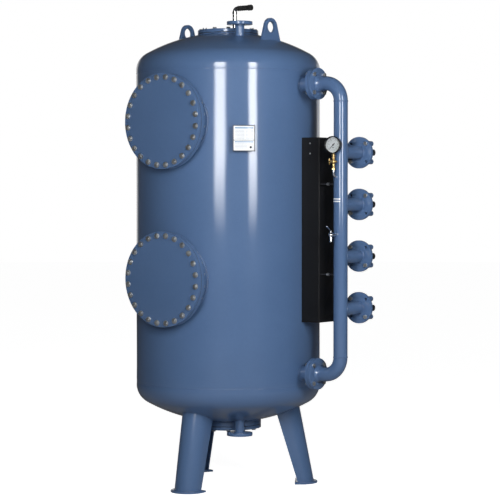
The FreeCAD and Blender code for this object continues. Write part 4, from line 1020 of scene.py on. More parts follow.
# %% Process nozzles
shell_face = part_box("shell_nozzles")[1].x
elbow_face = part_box("upper_elbow")[0].x
header_low, header_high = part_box("header_pipe")
HEADER_X = (header_low.x + header_high.x) / 2
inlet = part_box("upper_elbow")[1].z - FLANGE
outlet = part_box("lower_elbow")[0].z + FLANGE
BEND = inlet - header_high.z
process = []
seals = []
long_bolts = []
long_nuts = []
stack = elbow_face + FLANGE_THICK
bolt_tip = 0.665       # where the long flange bolts end
tail_start = 0.570     # where the pipe behind each flange starts, inside the shell
for order, level in enumerate((inlet, outlet)):
    plate = flange_plate(FLANGE, PIPE - PIPE_WALL, FLANGE_THICK, BOLT_CIRCLE)
    process.append((placed(plate, (shell_face - FLANGE_THICK, 0, level), X), BLUE))
    tail = ring(PIPE, PIPE - PIPE_WALL, shell_face - tail_start - 0.010, 0.001, 64)
    process.append((placed(tail, (tail_start, 0, level), X), BLUE))
    process.append((bead(on_shell(level, PIPE + 0.001, X), 0.006), WELD))
    neck = circle(Vector((shell_face - FLANGE_THICK - 0.001, 0, level)), Y, Z, PIPE + 0.001, 64)
    process.append((bead(neck, 0.004), WELD))
    seal = ring(0.071, PIPE, elbow_face - shell_face, 0.0003, 64)
    seals.append((placed(seal, (shell_face, 0, level), X), RUBBER))
    screw = bolt_with_shank(SMALL_KEY, SMALL_THREAD, SMALL_HEAD, stack - bolt_tip)
    bolts = ring_of(screw, 4, BOLT_CIRCLE, 45, ZINC, 31 + order)
    long_bolts.append((placed(bolts, (stack, 0, level), X), ZINC))
    nuts = ring_of(hexagon(SMALL_KEY, 0.013, 0.0079), 4, BOLT_CIRCLE, 45, ZINC, 41 + order)
    long_nuts.append((placed(nuts, (shell_face - FLANGE_THICK, 0, level), -X), ZINC))
painted("process_branches", process, "shell_nozzles")
assemble("nozzle_seals", seals, "vessel", ["nozzle_gaskets"])
assemble("flange_back_nuts", long_nuts, "vessel", ["flange_nuts"])

# %% [markdown]
# ## Header
# Two bought elbows and a straight pipe make the header. Each elbow starts in a short tapered hub
# behind its flange. The pipe is welded to both, and a plate inside it parts the raw water above
# from the filtered water below.
# %% Elbows
def elbow(name, node, level, down):
    start = HEADER_X - BEND
    hub_end = elbow_face + FLANGE_THICK + 0.022
    path = [Vector((hub_end - 0.001, 0, level))]
    centre = Vector((start, 0, level + down * BEND))
    path += arc(centre, -Z * down, X, BEND, 20)
    run = path if abs(path[0].x - path[1].x) > 1e-4 else path[1:]
    outside = sweep(run, PIPE, 64)
    hub = lathe(rounded([(PIPE - PIPE_WALL, 0), (0.055, 0), (PIPE, 0.022), (PIPE - PIPE_WALL, 0.022)],
                        0.003, 4), 64)
    plate = flange_plate(FLANGE, PIPE - PIPE_WALL, FLANGE_THICK, BOLT_CIRCLE)
    girth = circle(Vector((HEADER_X, 0, level + down * BEND)), X, Y, PIPE - 0.0015, 64)
    ring_seam = circle(Vector((hub_end, 0, level)), Y, Z, PIPE - 0.0015, 64)
    return painted(name, [
        (outside, BLUE), (placed(hub, (elbow_face + FLANGE_THICK, 0, level), X), BLUE),
        (placed(plate, (elbow_face, 0, level), X), BLUE),
        (bead(girth, 0.0045), WELD), (bead(ring_seam, 0.004), WELD),
    ], node)


elbow("upper_bend", "upper_elbow", inlet, -1)
elbow("lower_bend", "lower_elbow", outlet, 1)

# %% Header pipe and branches
disc_nodes = [f"valve_disc_{n}" for n in (1, 2, 3, 4)]
valve_levels = []
for node in disc_nodes:
    low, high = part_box(node)
    valve_levels.append((low.z + high.z) / 2)
BRANCH = 0.0825 / 2
stub_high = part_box("branch_stubs")[1]
STUB_THICK = 0.018
stub_back = stub_high.y - STUB_THICK


def at_header(level):
    points = []
    for step in range(96):
        around = math.tau * step / 96
        side = (BRANCH + 0.0005) * math.cos(around)
        reach = math.sqrt(PIPE ** 2 - side ** 2)
        points.append(Vector((HEADER_X + side, reach, level + BRANCH * math.sin(around))))
    return points


def tape(level, width=0.008, thick=0.0004, first=165, last=300, steps=28):
    """A strip of white tape part of the way round the header."""
    points = []
    edge = [(PIPE - 0.0005, 0), (PIPE + thick, 0), (PIPE + thick, width), (PIPE - 0.0005, width)]
    for step in range(steps + 1):
        around = math.radians(first + (last - first) * step / steps)
        for radius, z in edge:
            x, y = polar(radius, around)
            points.append((HEADER_X + x, y, level + z))
    ends = [(0, 1, 2, 3), tuple(steps * 4 + corner for corner in (3, 2, 1, 0))]
    return raw_mesh("tape", points, band(steps + 1, 4) + ends)


TAPE_LEVELS = (1.855, 1.840)
run = ring(PIPE, PIPE - PIPE_WALL, header_high.z - header_low.z, 0.0005, 64)
painted("header_run", [(placed(run, (HEADER_X, 0, header_low.z)), BLUE)]
        + [(tape(level), WHITE) for level in TAPE_LEVELS], "header_pipe")
branch_start = 0.030   # inside the header, out of sight
branches = []
for level in valve_levels:
    pipe = ring(BRANCH, BRANCH - 0.003, stub_back - branch_start + 0.004, 0.0005, 64)
    branches.append((placed(pipe, (HEADER_X, branch_start, level), Y), BLUE))
    plate = flange_plate(FLANGE, BRANCH - 0.003, STUB_THICK, BOLT_CIRCLE)
    branches.append((placed(plate, (HEADER_X, stub_back, level), Y), BLUE))
    branches.append((bead(at_header(level), 0.005), WELD))
    collar = circle(Vector((HEADER_X, stub_back - 0.001, level)), X, Z, BRANCH + 0.001, 64)
    branches.append((bead(collar, 0.004), WELD))
painted("header_branches", branches, "branch_stubs")

# %% [markdown]
# ## Valves
# Each branch ends in a lug valve: a cast ring with four threaded bosses, a rubber seat, and a disc
# that turns on a stem. The stem runs to an actuator under the cover, and its free end has a cap.
# Two bolts hold each valve until the customer's pipe is bolted on.
# %% Valve bodies
valve_low, valve_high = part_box("valve_bodies")
valve_front = stub_high.y
valve_long = valve_high.y - valve_front
valve_mid = (valve_front + valve_high.y) / 2
STEM_BORE = 0.0071
SEAT_OUTER = 0.046
NECK_ROOT = 0.048      # where the stem's necks leave the ring, from the header's middle
foot_end = 0.957
bodies = []
valve_seats = []
for level in valve_levels:
    shape = ring(0.066, SEAT_OUTER, valve_long, 0.004, 64)
    bodies.append((placed(shape, (HEADER_X, valve_front, level), Y), BLUE))
    boss = ring(0.017, 0.008, valve_long, 0.002, 28)
    lugs = ring_of(boss, 4, BOLT_CIRCLE, 45, BLUE, 5, 0.0)
    bodies.append((placed(lugs, (HEADER_X, valve_front, level), Y), BLUE))
    neck = ring(0.020, STEM_BORE, HEADER_X - NECK_ROOT - valve_low.x, 0.0015, 32)
    bodies.append((placed(neck, (HEADER_X - NECK_ROOT, valve_mid, level), -X), BLUE))
    foot = ring(0.015, STEM_BORE, foot_end - HEADER_X - NECK_ROOT, 0.002, 32)
    bodies.append((placed(foot, (HEADER_X + NECK_ROOT, valve_mid, level), X), BLUE))
    seat = ring(SEAT_OUTER, 0.0405, valve_long, 0.0015, 64)
    valve_seats.append((placed(seat, (HEADER_X, valve_front, level), Y), RUBBER))
painted("valve_castings", bodies, "valve_bodies")
assemble("valve_liners", valve_seats, "vessel", ["valve_seats"])

# %% Valve discs
for order, (node, level) in enumerate(zip(disc_nodes, valve_levels), start=1):
    low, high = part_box(node)
    blade = lathe(rounded([(0, -0.0035), (0.0395, -0.0025), (0.040, 0), (0.0395, 0.0025), (0, 0.0035)],
                          0.002, 3), 64, 50.0)
    placed(blade, (HEADER_X, valve_mid, level), Y)
    hub = placed(disc(0.0105, 0.072, 0.003, 28), (HEADER_X - 0.036, valve_mid, level), X)
    stem = placed(disc(0.007, high.x - 0.004 - low.x, 0.001, 28), (low.x, valve_mid, level), X)
    cap = lathe(rounded([(0, 0), (0.020, 0), (0.020, 0.019), (0.016, 0.022), (0.008, 0.022),
                         (0.008, 0.018), (0, 0.018)], 0.0015, 3), 40)
    placed(cap, (high.x - 0.022, valve_mid, level), X)
    assemble(f"disc_{order}", [(blade, IRON), (hub, IRON), (stem, ZINC), (cap, IRON)],
             node, [node])

# %% Flange bolts
short = bolt_with_shank(SMALL_KEY, SMALL_THREAD, SMALL_HEAD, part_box("flange_bolts")[1].y - stub_back)
for order, level in enumerate(valve_levels):
    tilt = 135 if order < 2 else 45
    for half in (0, 180):
        across, above = polar(BOLT_CIRCLE, math.radians(tilt + half))
        screw = short.copy()
        screw.transform(Matrix.Rotation(0.7 * order + half, 4, "Z"))
        long_bolts.append((placed(screw, (HEADER_X + across, stub_back, level + above), -Y), ZINC))
assemble("flange_screws", long_bolts, "vessel", ["flange_bolts"])


# %% [markdown]
# ## Cover
# The actuators sit under a bent sheet box in black powder coat. It stands against the shell and
# its outer face has a round hole for each stem. The bends leave a small radius along the edges,
# and that radius is what draws a thin light line down the corner.
# %% Valve cover
def extrude_outline(outline, low, high, name="sheet"):
    """A closed outline in X and Y drawn up from one level to another."""
    count = len(outline)
    points = [(x, y, low) for x, y in outline] + [(x, y, high) for x, y in outline]
    faces = [(n, (n + 1) % count, count + (n + 1) % count, count + n) for n in range(count)]
    faces += [tuple(range(count)), tuple(range(count, 2 * count))]
    return raw_mesh(name, points, faces, 30.0)


def bent_cover(bend=0.005, sheet=0.002):
    low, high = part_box("valve_cover")
    holes = [(valve_mid, level) for level in valve_levels]
    centre_y = (low.y + high.y) / 2
    centre_z = (low.z + high.z) / 2
    wide = (high.y - low.y) / 2 - bend
    tall = (high.z - low.z) / 2 - bend
    edge = [(-wide, -tall), (wide, -tall), (wide, tall), (-wide, tall)]
    loops = [[(y, z) for y, z in edge]]
    for y, z in holes:
        loops.append(loop_points(0.024, (y - centre_y, z - centre_z), 40))
    front = cut_plate(loops, sheet, 0.0004)
    lay = Matrix(((0, 0, 1, high.x - sheet), (1, 0, 0, centre_y), (0, 1, 0, centre_z), (0, 0, 0, 1)))
    front.transform(lay)
    parts = [front]
    for side, corner in ((-1, low), (1, high)):
        parts.append(side_sheet(corner.y, side, low, high, bend, sheet, upright=True))
        parts.append(side_sheet(corner.z, side, low, high, bend, sheet, upright=False))
    return parts


def side_sheet(outer, side, low, high, bend, sheet, upright):
    """One side of the box with the bend that turns into the face."""
    def bow(radius):
        turns = [polar(radius, math.pi / 2 * s / 6) for s in range(7)]
        return [(high.x - bend + x, outer - side * bend + side * y) for x, y in turns]

    def shell_at(y):
        return math.sqrt(RADIUS ** 2 - y ** 2)
    inner = outer - side * sheet
    outside, inside = bow(bend), bow(bend - sheet)
    if upright:
        outline = outside + [(shell_at(outer), outer), (shell_at(inner), inner)] + inside[::-1]
        return extrude_outline(outline, low.z + 0.001, high.z - 0.001)
    rows = 24
    points = []
    for row in range(rows + 1):
        y = low.y + 0.001 + (high.y - low.y - 0.002) * row / rows
        loop = outside + [(shell_at(y), outer), (shell_at(y), inner)] + inside[::-1]
        points += [(x, y, z) for x, z in loop]
    width = len(loop)
    ends = [tuple(range(width)), tuple(rows * width + n for n in reversed(range(width)))]
    return raw_mesh("sheet", points, band(rows + 1, width) + ends, 30.0)


COVER_SCREW_X = 0.663
COVER_SCREW_LEVELS = (2.210, 2.145)
cover_parts = [(mesh, POWDER) for mesh in bent_cover()]
cover_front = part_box("valve_cover")[0].y
for level in COVER_SCREW_LEVELS:
    screw = placed(lathe(rounded([(0, 0), (0.006, 0), (0.0045, 0.0022), (0, 0.0030)], 0.001), 24),
                   (COVER_SCREW_X, cover_front + 0.0008, level), -Y)
    cover_parts.append((screw, ZINC))
assemble("actuator_cover", cover_parts, "vessel", ["valve_cover"])

# %% Standoffs and actuators
rod_low, rod_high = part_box("cover_standoffs")
rods = []
for level in (rod_low.z + 0.005, rod_high.z - 0.005):
    rod = placed(disc(0.005, HEADER_X - PIPE - rod_low.x + 0.001, 0.0005, 24), (rod_low.x, 0, level), X)
    rods.append((rod, IRON))
    nut = placed(hexagon(0.017, 0.016), (rod_low.x + 0.050, 0, level), X)
    rods.append((nut, ZINC))
assemble("cover_spacers", rods, "vessel", ["cover_standoffs"])
actuator_low, actuator_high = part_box("actuators")
boxes = []
for level in valve_levels:
    deep = actuator_high.x - actuator_low.x
    body_case = placed(disc(0.037, 0.150, 0.004, 48), ((actuator_low.x + actuator_high.x) / 2,
                                                      valve_mid, level - 0.075))
    boxes.append((body_case, CASTING))
    plate = placed(disc(0.030, deep / 2, 0.003, 32), (actuator_high.x - deep / 2, valve_mid, level), X)
    boxes.append((plate, CASTING))
assemble("valve_actuators", boxes, "vessel", ["actuators"])

# %% [markdown]
# ## Gauge
# The pressure gauge has a pressed black case with a rolled bezel, a white dial, a window and a
# slim pointer. It stands on a needle cock, and a curled pipe under the cock keeps hammer in the
# water away from the works. The gauge is turned a little, so the script builds it facing -Y and
# turns it in one place.
# %% Gauge pieces
def joint_of(child):
    """The place and the axis of the joint that turns a node."""
    joint = [j for j in frame["joints"] if j["child"] == child][0]
    return Vector(joint["pos_m"]), Vector(joint["axis"])


GAUGE_AT, gauge_axis = joint_of("gauge_pointer")
facing = gauge_axis if gauge_axis.y < 0 else -gauge_axis
case_radius = 0.0505
bezel_radius = 0.055


def toward_reader(mesh, depth):
    """Lay a piece flat against the gauge, at a depth in front of the gauge's own plane."""
    turned = Matrix(((1, 0, 0), (0, 0, -1), (0, 1, 0))).to_4x4()
    mesh.transform(Matrix.Translation((0, -depth, 0)) @ turned)
    swing = Matrix.Rotation(math.atan2(facing.x, -facing.y), 4, "Z")
    mesh.transform(Matrix.Translation(GAUGE_AT) @ swing)
    return mesh


def depth_of(node):
    """How far the nearest and the farthest point of a node stand before the gauge's plane."""
    spans = [(v.co - GAUGE_AT).dot(facing) for v in frame["nodes"][node].data.vertices]
    return min(spans), max(spans)


case_back, case_front = depth_of("gauge_case")
dial_back, dial_front = depth_of("gauge_dial")
glass_back, glass_front = depth_of("gauge_glass")
hand_back, hand_front = depth_of("gauge_pointer")
case_line = rounded([
    (0.0, case_back), (case_radius, case_back), (case_radius, case_front - 0.012),
    (bezel_radius, case_front - 0.011), (bezel_radius, case_front), (0.0475, case_front),
    (0.0475, dial_back), (0.004, dial_back), (0.004, dial_back - 0.001), (0.0, dial_back - 0.001),
], 0.002, 4)
case_line[0] = Vector((0.0, case_back))
shell_case = toward_reader(lathe(case_line, 96, 35.0), 0.0)
assemble("gauge_drum", [(shell_case, GLOSS_BLACK)], "vessel", ["gauge_case"])
print("gauge depths", [round(v, 4) for v in (case_back, dial_back, dial_front, hand_front, glass_front)])


# %% [markdown]
# The scale is a row of strokes on a circle, so Geometry Nodes lay them out too: an arc of points
# over 270 degrees, one stroke on each, turned to the centre, with every fifth one longer.
# %% Dial scale
def scale_tree():
    tree, start, sockets = new_tree("dial_scale", {
        "Stroke": "Geometry", "Count": "Int", "Radius": "Float", "First": "Float",
        "Sweep": "Float", "Every": "Int", "Long": "Float", "Material": "Material",
    })
    given = start.outputs
    points = tree.nodes.new("GeometryNodePoints")
    join(tree, given["Count"], points.inputs["Count"])
    order = tree.nodes.new("GeometryNodeInputIndex").outputs[0]
    share = maths(tree, "DIVIDE", order, maths(tree, "SUBTRACT", given["Count"], 1.0))
    around = maths(tree, "SUBTRACT", given["First"], maths(tree, "MULTIPLY", share, given["Sweep"]))
    x = maths(tree, "MULTIPLY", maths(tree, "COSINE", around), given["Radius"])
    y = maths(tree, "MULTIPLY", maths(tree, "SINE", around), given["Radius"])
    join(tree, combine(tree, X=x, Y=y), points.inputs["Position"])
    major = maths(tree, "LESS_THAN", maths(tree, "MODULO", order, given["Every"]), 0.5)
    grow = maths(tree, "ADD", maths(tree, "MULTIPLY", major, given["Long"]), 1.0)
    lay_copies(tree, start, Points=points.outputs[0], Rotation=combine(tree, Z=around),
               Scale=combine(tree, X=grow, Y=grow, Z=1.0))
    return tree, sockets


SCALE_TREE, SCALE_INPUTS = scale_tree()


def brick(wide, long, thick, at=(0, 0, 0)):
    """A thin printed stroke, centred on its place, with its long side along X."""
    x, y = long / 2, wide / 2
    base = [(-x, -y), (x, -y), (x, y), (-x, y)]
    points = [(px + at[0], py + at[1], at[2]) for px, py in base]
    points += [(px + at[0], py + at[1], at[2] + thick) for px, py in base]
    faces = [(0, 3, 2, 1), (4, 5, 6, 7), (0, 1, 5, 4), (1, 2, 6, 5), (2, 3, 7, 6), (3, 0, 4, 7)]
    return raw_mesh("stroke", points, faces)


DIAL_FIRST = 225.0     # the scale's zero, at half past seven
DIAL_SWEEP = 270.0
PRINT = 0.0003         # how thick the printed strokes lie


def scale_of(stroke, count, radius, every, long, material):
    return grown(stroke, SCALE_TREE, SCALE_INPUTS, {
        "Count": count, "Radius": radius, "First": math.radians(DIAL_FIRST),
        "Sweep": math.radians(DIAL_SWEEP), "Every": every, "Long": long, "Material": material,
    })


dial = disc(0.0470, dial_front - dial_back - 0.0004, 0.0003, 72)
marks = [
    scale_of(brick(0.0008, 0.0052, PRINT), 51, 0.0385, 5, 0.7, INK),
    scale_of(brick(0.0050, 0.0030, PRINT), 6, 0.0285, 99, 0.0, INK),
    brick(0.0030, 0.0140, PRINT, (0, -0.0170, 0)),
]
dial_parts = [(toward_reader(dial, dial_back), WHITE)]
for mesh in marks:
    dial_parts.append((toward_reader(mesh, dial_front - 0.0005), INK))
assemble("gauge_face", dial_parts, "vessel", ["gauge_dial"])

# %% Window and pointer
glass_radius = 0.0474
window = disc(glass_radius, glass_front - glass_back, 0.0005, 72)
assemble("gauge_window", [(toward_reader(window, glass_back), GLASS)], "vessel",
         ["gauge_glass"])
hand_outline = [(-0.0140, -0.0030), (0.0, -0.0025), (0.0335, -0.0005), (0.0335, 0.0005), (0.0, 0.0025),
                (-0.0140, 0.0030)]
hand = cut_plate([hand_outline], 0.0010, 0.0002)
hand.transform(Matrix.Rotation(math.radians(DIAL_FIRST), 4, "Z"))
boss = disc(0.0050, 0.0022, 0.0006, 28)
spindle = disc(0.0018, hand_front - hand_back - 0.0015, 0.0003, 20)
assemble("gauge_hand", [
    (toward_reader(hand, hand_front - 0.0024), IRON), (toward_reader(boss, hand_front - 0.0024), IRON),
    (toward_reader(spindle, hand_back), IRON),
], "gauge_pointer", ["gauge_pointer"])

# %% [markdown]
# ## Cock and siphon
# The cock is turned from brass bar: a hexagon foot, a ball with the plug in it, two arms and a
# beaded neck. A round knob on the left opens it, and a small plug on the right can be unscrewed to
# vent. The siphon is chromed tube, bent through a quarter turn into the header.
# %% Gauge cock
BALL = 0.0150
ARM = 0.0078


def ball_line(stretch=1.0):
    """Half a circle from foot to crown, closed on the axis."""
    return [(BALL * math.sin(math.pi * s / 24) if 0 < s < 24 else 0.0,
             -BALL * math.cos(math.pi * s / 24) * stretch) for s in range(25)]


COCK = joint_of("gauge_cock_handle")[0]
cock_low, cock_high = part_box("gauge_cock")
foot_long = 0.010
parts = [(placed(hexagon(0.022, foot_long), (COCK.x, COCK.y, cock_low.z)), BRASS)]
above = COCK.z + 0.016
crown_line = [(0, 0), (0.0080, 0)]
for start in (0.003, 0.017):
    for step in range(9):
        around = math.pi * step / 8
        crown_line.append((0.0080 + 0.0040 * math.sin(around), start + 0.0065 - 0.0065 * math.cos(around)))
crown_line += [(0.0072, 0.034), (0.0072, cock_high.z - above), (0, cock_high.z - above)]
parts.append((placed(lathe(crown_line, 40, 45.0), (COCK.x, COCK.y, above)), BRASS))
lower = disc(0.0085, COCK.z - cock_low.z - foot_long, 0.001, 36)
parts.append((placed(lower, (COCK.x, COCK.y, cock_low.z + foot_long)), BRASS))
parts.append((placed(lathe(ball_line(1.15), 40, 60.0), COCK), BRASS))
for way in (X, -X):
    parts.append((placed(disc(ARM, 0.0230, 0.0012, 32), COCK, way), BRASS))
plug_end = placed(hexagon(0.0135, 0.006), (COCK.x + 0.0165, COCK.y, COCK.z), X)
parts.append((plug_end, BRASS))
assemble("cock_body", parts, "vessel", ["gauge_cock"])

# %% Cock handle and siphon
outer_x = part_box("gauge_cock_handle")[0].x
knob = lathe(rounded([(0, 0), (0.0095, 0.0), (0.0095, 0.010), (0.0070, 0.0140), (0, 0.0140)], 0.002, 4), 40)
placed(knob, (COCK.x - 0.0235, COCK.y, COCK.z), -X)
tommy = placed(disc(0.0028, 0.040, 0.0012, 20), (outer_x + 0.0062, COCK.y, COCK.z - 0.020))
assemble("cock_handle", [(knob, BRASS), (tommy, BRASS)], "gauge_cock_handle",
         ["gauge_cock_handle"])
siphon_low, siphon_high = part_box("siphon_tube")
SIPHON = 0.007
bend = 0.030
run_level = siphon_low.z + SIPHON
drop = Vector((COCK.x, COCK.y, siphon_high.z))
bend_centre = Vector((COCK.x, COCK.y + bend, run_level + bend))
path = [drop] + arc(bend_centre, -Y, -Z, bend, 12) + [Vector((COCK.x, -0.040, run_level))]
entry = circle(Vector((COCK.x, -PIPE, run_level)), X, Z, SIPHON + 0.0005, 32)
assemble("siphon", [(sweep(path, SIPHON, 28), CHROME), (bead(entry, 0.0022, 0.005), WELD)],
         "vessel", ["siphon_tube"])

# %% [markdown]
# ## Sample tap
# A small chromed tap stands out of the header below the gauge: a tail, a ball body, a gland and a
# spout that points down. Its flat lever is tilted up and turns about the upright spindle.
# %% Sample tap
TAP = joint_of("tap_lever")[0]
tap_low, tap_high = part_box("tap_body")
ball = lathe(ball_line(), 40, 60.0)
tail = placed(disc(0.0100, -0.040 - TAP.y, 0.001, 36), (TAP.x, -0.040, TAP.z), -Y)
spout_line = [(0.0052, 0), (0.0095, 0), (0.0095, 0.006), (0.0075, 0.008), (0.0075, 0.046), (0.0052, 0.046)]
spout = placed(lathe(rounded(spout_line, 0.001), 36), (TAP.x, TAP.y, tap_low.z))
gland = placed(disc(0.0080, tap_high.z - TAP.z, 0.001, 32), TAP)
root = circle(Vector((TAP.x, -PIPE + 0.001, TAP.z)), X, Z, 0.0105, 36)
assemble("tap", [(placed(ball, TAP), CHROME), (tail, CHROME), (spout, CHROME), (gland, CHROME),
                 (bead(root, 0.0025, 0.005), WELD)], "vessel", ["tap_body"])
tilt = math.radians(36)
blade_outline = []
for step in range(13):
    x, y = polar(0.0056, math.pi * (step / 12 - 0.5))
    blade_outline.append((0.0560 + x, y))
blade_outline += [(0.0, 0.0042), (-0.004, 0.0), (0.0, -0.0042)]
blade = cut_plate([blade_outline], 0.0040, 0.0010)
lift = Matrix.Rotation(math.radians(-90), 4, "Z") @ Matrix.Rotation(-tilt, 4, "Y")
blade.transform(Matrix.Translation((TAP.x, TAP.y - 0.0005, tap_high.z + 0.0030)) @ lift)
cap = placed(disc(0.0062, 0.0080, 0.0016, 28), (TAP.x, TAP.y, tap_high.z + 0.0006))
assemble("tap_handle", [(blade, CHROME), (cap, CHROME)], "tap_lever", ["tap_lever"])

# %% [markdown]
# ## Vent
# Air leaves at the top through a chromed pipe with a collar at its foot, and a moulded black valve
# with ribs for the fingers. Its knob turns on the same axis.
# %% Vent
post_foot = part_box("vent_pipe")[0].z
body_low, body_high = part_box("vent_valve")
knob_low, knob_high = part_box("vent_knob")
VENT = joint_of("vent_knob")[0]
VENT_PIPE = 0.0269 / 2
vent_bend = 0.022
post_x = VENT.x - vent_bend
path = [Vector((post_x, 0, post_foot)), Vector((post_x, 0, VENT.z - vent_bend))]
path += arc(Vector((post_x + vent_bend, 0, VENT.z - vent_bend)), -X, Z, vent_bend, 14)[1:]
collars = [placed(disc(0.016, 0.011, 0.0015, 40), (post_x, 0, level))
           for level in (post_foot, VENT.z - vent_bend - 0.011)]
assemble("vent_post", [(sweep(path, VENT_PIPE, 40), CHROME)] + [(c, CHROME) for c in collars],
         "vessel", ["vent_pipe"])
rib_line = [(0, 0), (0.0135, 0)]
for number in range(5):
    start = 0.006 + number * 0.0155
    rib_line += [(0.0135, start), (0.0170, start + 0.001), (0.0170, start + 0.0065), (0.0135, start + 0.0075)]
rib_line += [(0.0135, body_high.x - body_low.x), (0, body_high.x - body_low.x)]
barrel = placed(lathe(rounded(rib_line, 0.0008, 3), 48), (body_low.x, 0, VENT.z), X)
assemble("vent_body", [(barrel, MOULDED)], "vessel", ["vent_valve"])
knob_long = 0.030
knob_start = knob_high.x - knob_long


def fluted_knob(radius, length, flutes=12, steps=96):
    """A knob with finger flutes: its radius dips a little between the ridges."""
    outline = rounded([(0, 0), (radius, 0), (radius, length), (0, length)], 0.003, 4)
    mesh = lathe(outline, steps, 50.0)
    for vertex in mesh.vertices:
        reach = math.hypot(vertex.co.x, vertex.co.y)
        if reach > radius * 0.8:
            dip = 1.0 - 0.05 * (0.5 - 0.5 * math.cos(flutes * math.atan2(vertex.co.y, vertex.co.x)))
            vertex.co.x *= dip
            vertex.co.y *= dip
    return mesh


knob = placed(fluted_knob(0.019, knob_long), (knob_start, 0, VENT.z), X)
core = placed(disc(0.0045, knob_start - knob_low.x + 0.004, 0.001, 24), (knob_low.x, 0, VENT.z), X)
assemble("vent_grip", [(knob, MOULDED), (core, MOULDED)], "vent_knob", ["vent_knob"])

# %% [markdown]
# ## Nameplate
# A data plate stands on a small bracket off the shell. It has two printed panels, each with a
# coloured header and rows of ruled lines. Nothing on it is lettering.
# %% Nameplate
PLATE_AT = sum(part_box("nameplate"), Vector()) / 2
PLATE_TURN = math.atan2(PLATE_AT.y, PLATE_AT.x)


def plate_span(node):
    """Width, height and the depths of a plate, seen along its own spoke."""
    out = Vector((math.cos(PLATE_TURN), math.sin(PLATE_TURN), 0))
    across = Vector((-out.y, out.x, 0))
    points = [v.co for v in frame["nodes"][node].data.vertices]
    sides = [p.dot(across) for p in points]
    deeps = [p.dot(out) for p in points]
    highs = [p.z for p in points]
    return min(sides), max(sides), min(highs), max(highs), min(deeps), max(deeps)


def on_plate(mesh, depth):
    """Turn a flat piece drawn in X across and Y up to stand at a depth along the spoke."""
    lay = Matrix(((0, 0, 1, depth), (1, 0, 0, 0), (0, 1, 0, 0), (0, 0, 0, 1)))
    mesh.transform(Matrix.Rotation(PLATE_TURN, 4, "Z") @ lay)
    return mesh


def panel_loop(low_x, high_x, low_y, high_y, corner=0.002):
    points = []
    for cx, cy, start in ((high_x - corner, high_y - corner, 0), (low_x + corner, high_y - corner, 90),
                          (low_x + corner, low_y + corner, 180), (high_x - corner, low_y + corner, 270)):
        for step in range(5):
            x, y = polar(corner, math.radians(start + 90 * step / 4))
            points.append((cx + x, cy + y))
    return points


left, right, bottom, top, _, deep_high = plate_span("nameplate_bracket")
sheet = cut_plate([panel_loop(left, right, bottom, top, 0.004)], 0.003, 0.0006)
cheeks = []
middle_z = (bottom + top) / 2
for side in (-1, 1):
    at = side * (right - left) / 4
    foot_at = (deep_high - 0.003 - 0.026, at, middle_z - (top - bottom) / 4)
    cheek = brick(0.003, 0.052, (top - bottom) / 2, foot_at)
    cheek.transform(Matrix.Rotation(PLATE_TURN, 4, "Z"))
    cheeks.append((cheek, FRAME_DARK))
assemble("plate_holder", [(on_plate(sheet, deep_high - 0.003), FRAME_DARK)] + cheeks,
         "vessel", ["nameplate_bracket"])
left, right, bottom, top, back, front = plate_span("nameplate")
base_thick = front - back - 0.0004
plate_parts = []
split = bottom + (top - bottom) * 0.42
for low_y, high_y in ((bottom, split - 0.0015), (split + 0.0015, top)):
    board = cut_plate([panel_loop(left, right, low_y, high_y)], base_thick, 0.0003)
    plate_parts.append((on_plate(board, back), WHITE))
ink_at = front - 0.00055
wide = right - left


def printed(low_share, high_share, low_y, high_y, ink):
    low_x = left + wide * low_share
    high_x = left + wide * high_share
    stroke = brick(high_y - low_y, high_x - low_x, 0.0005, ((low_x + high_x) / 2, (low_y + high_y) / 2, 0))
    plate_parts.append((on_plate(stroke, ink_at), ink))


printed(0.05, 0.95, top - 0.016, top - 0.008, BLUE_INK)
row = top - 0.026
while row > split + 0.010:
    printed(0.06, 0.52, row - 0.0018, row, PALE_INK)
    printed(0.60, 0.94, row - 0.0018, row, PALE_INK)
    row -= 0.0085
printed(0.05, 0.95, split - 0.0135, split - 0.0075, BLUE_INK)
row = split - 0.022
while row > bottom + 0.008:
    printed(0.06, 0.66, row - 0.0018, row, PALE_INK)
    row -= 0.0085
spot = disc(0.0075, 0.0005, 0.0001, 28)
spot.transform(Matrix.Translation((left + wide * 0.83, bottom + 0.020, 0)))
plate_parts.append((on_plate(spot, ink_at), INK))
assemble("data_plate", plate_parts, "vessel", ["nameplate"])


# %% [markdown]
# ## Legs
# Each leg is plate rolled to a U, leaning out at the foot, and cut at the top to the curve of the
# bottom head. Its sides grow deeper towards the head. The leg and its foot plate are welded, and
# so is the seam between the leg and the head.
# %% Leg shape
LEG_RADIUS = 0.088
LEG_WALL = 0.008
LEG_SIDE = 0.014
LEG_TAPER = math.tan(math.radians(6.0))
LEG_LEAN = math.radians(11.0)
LEG_FLOOR = 0.475
LEG_REACH = 0.62       # longer than any leg, where the search for its top starts
FOOT = 0.012


def leg_section(radius, side, steps=32):
    """Points across the U, from the end of one side round the front to the other."""
    points = [Vector((-side, -radius, 0)), Vector((-side * 0.5, -radius, 0))]
    for step in range(steps + 1):
        points.append(Vector((*polar(radius, math.pi * (step / steps - 0.5)), 0)))
    return points + [Vector((-side * 0.5, radius, 0)), Vector((-side, radius, 0))]


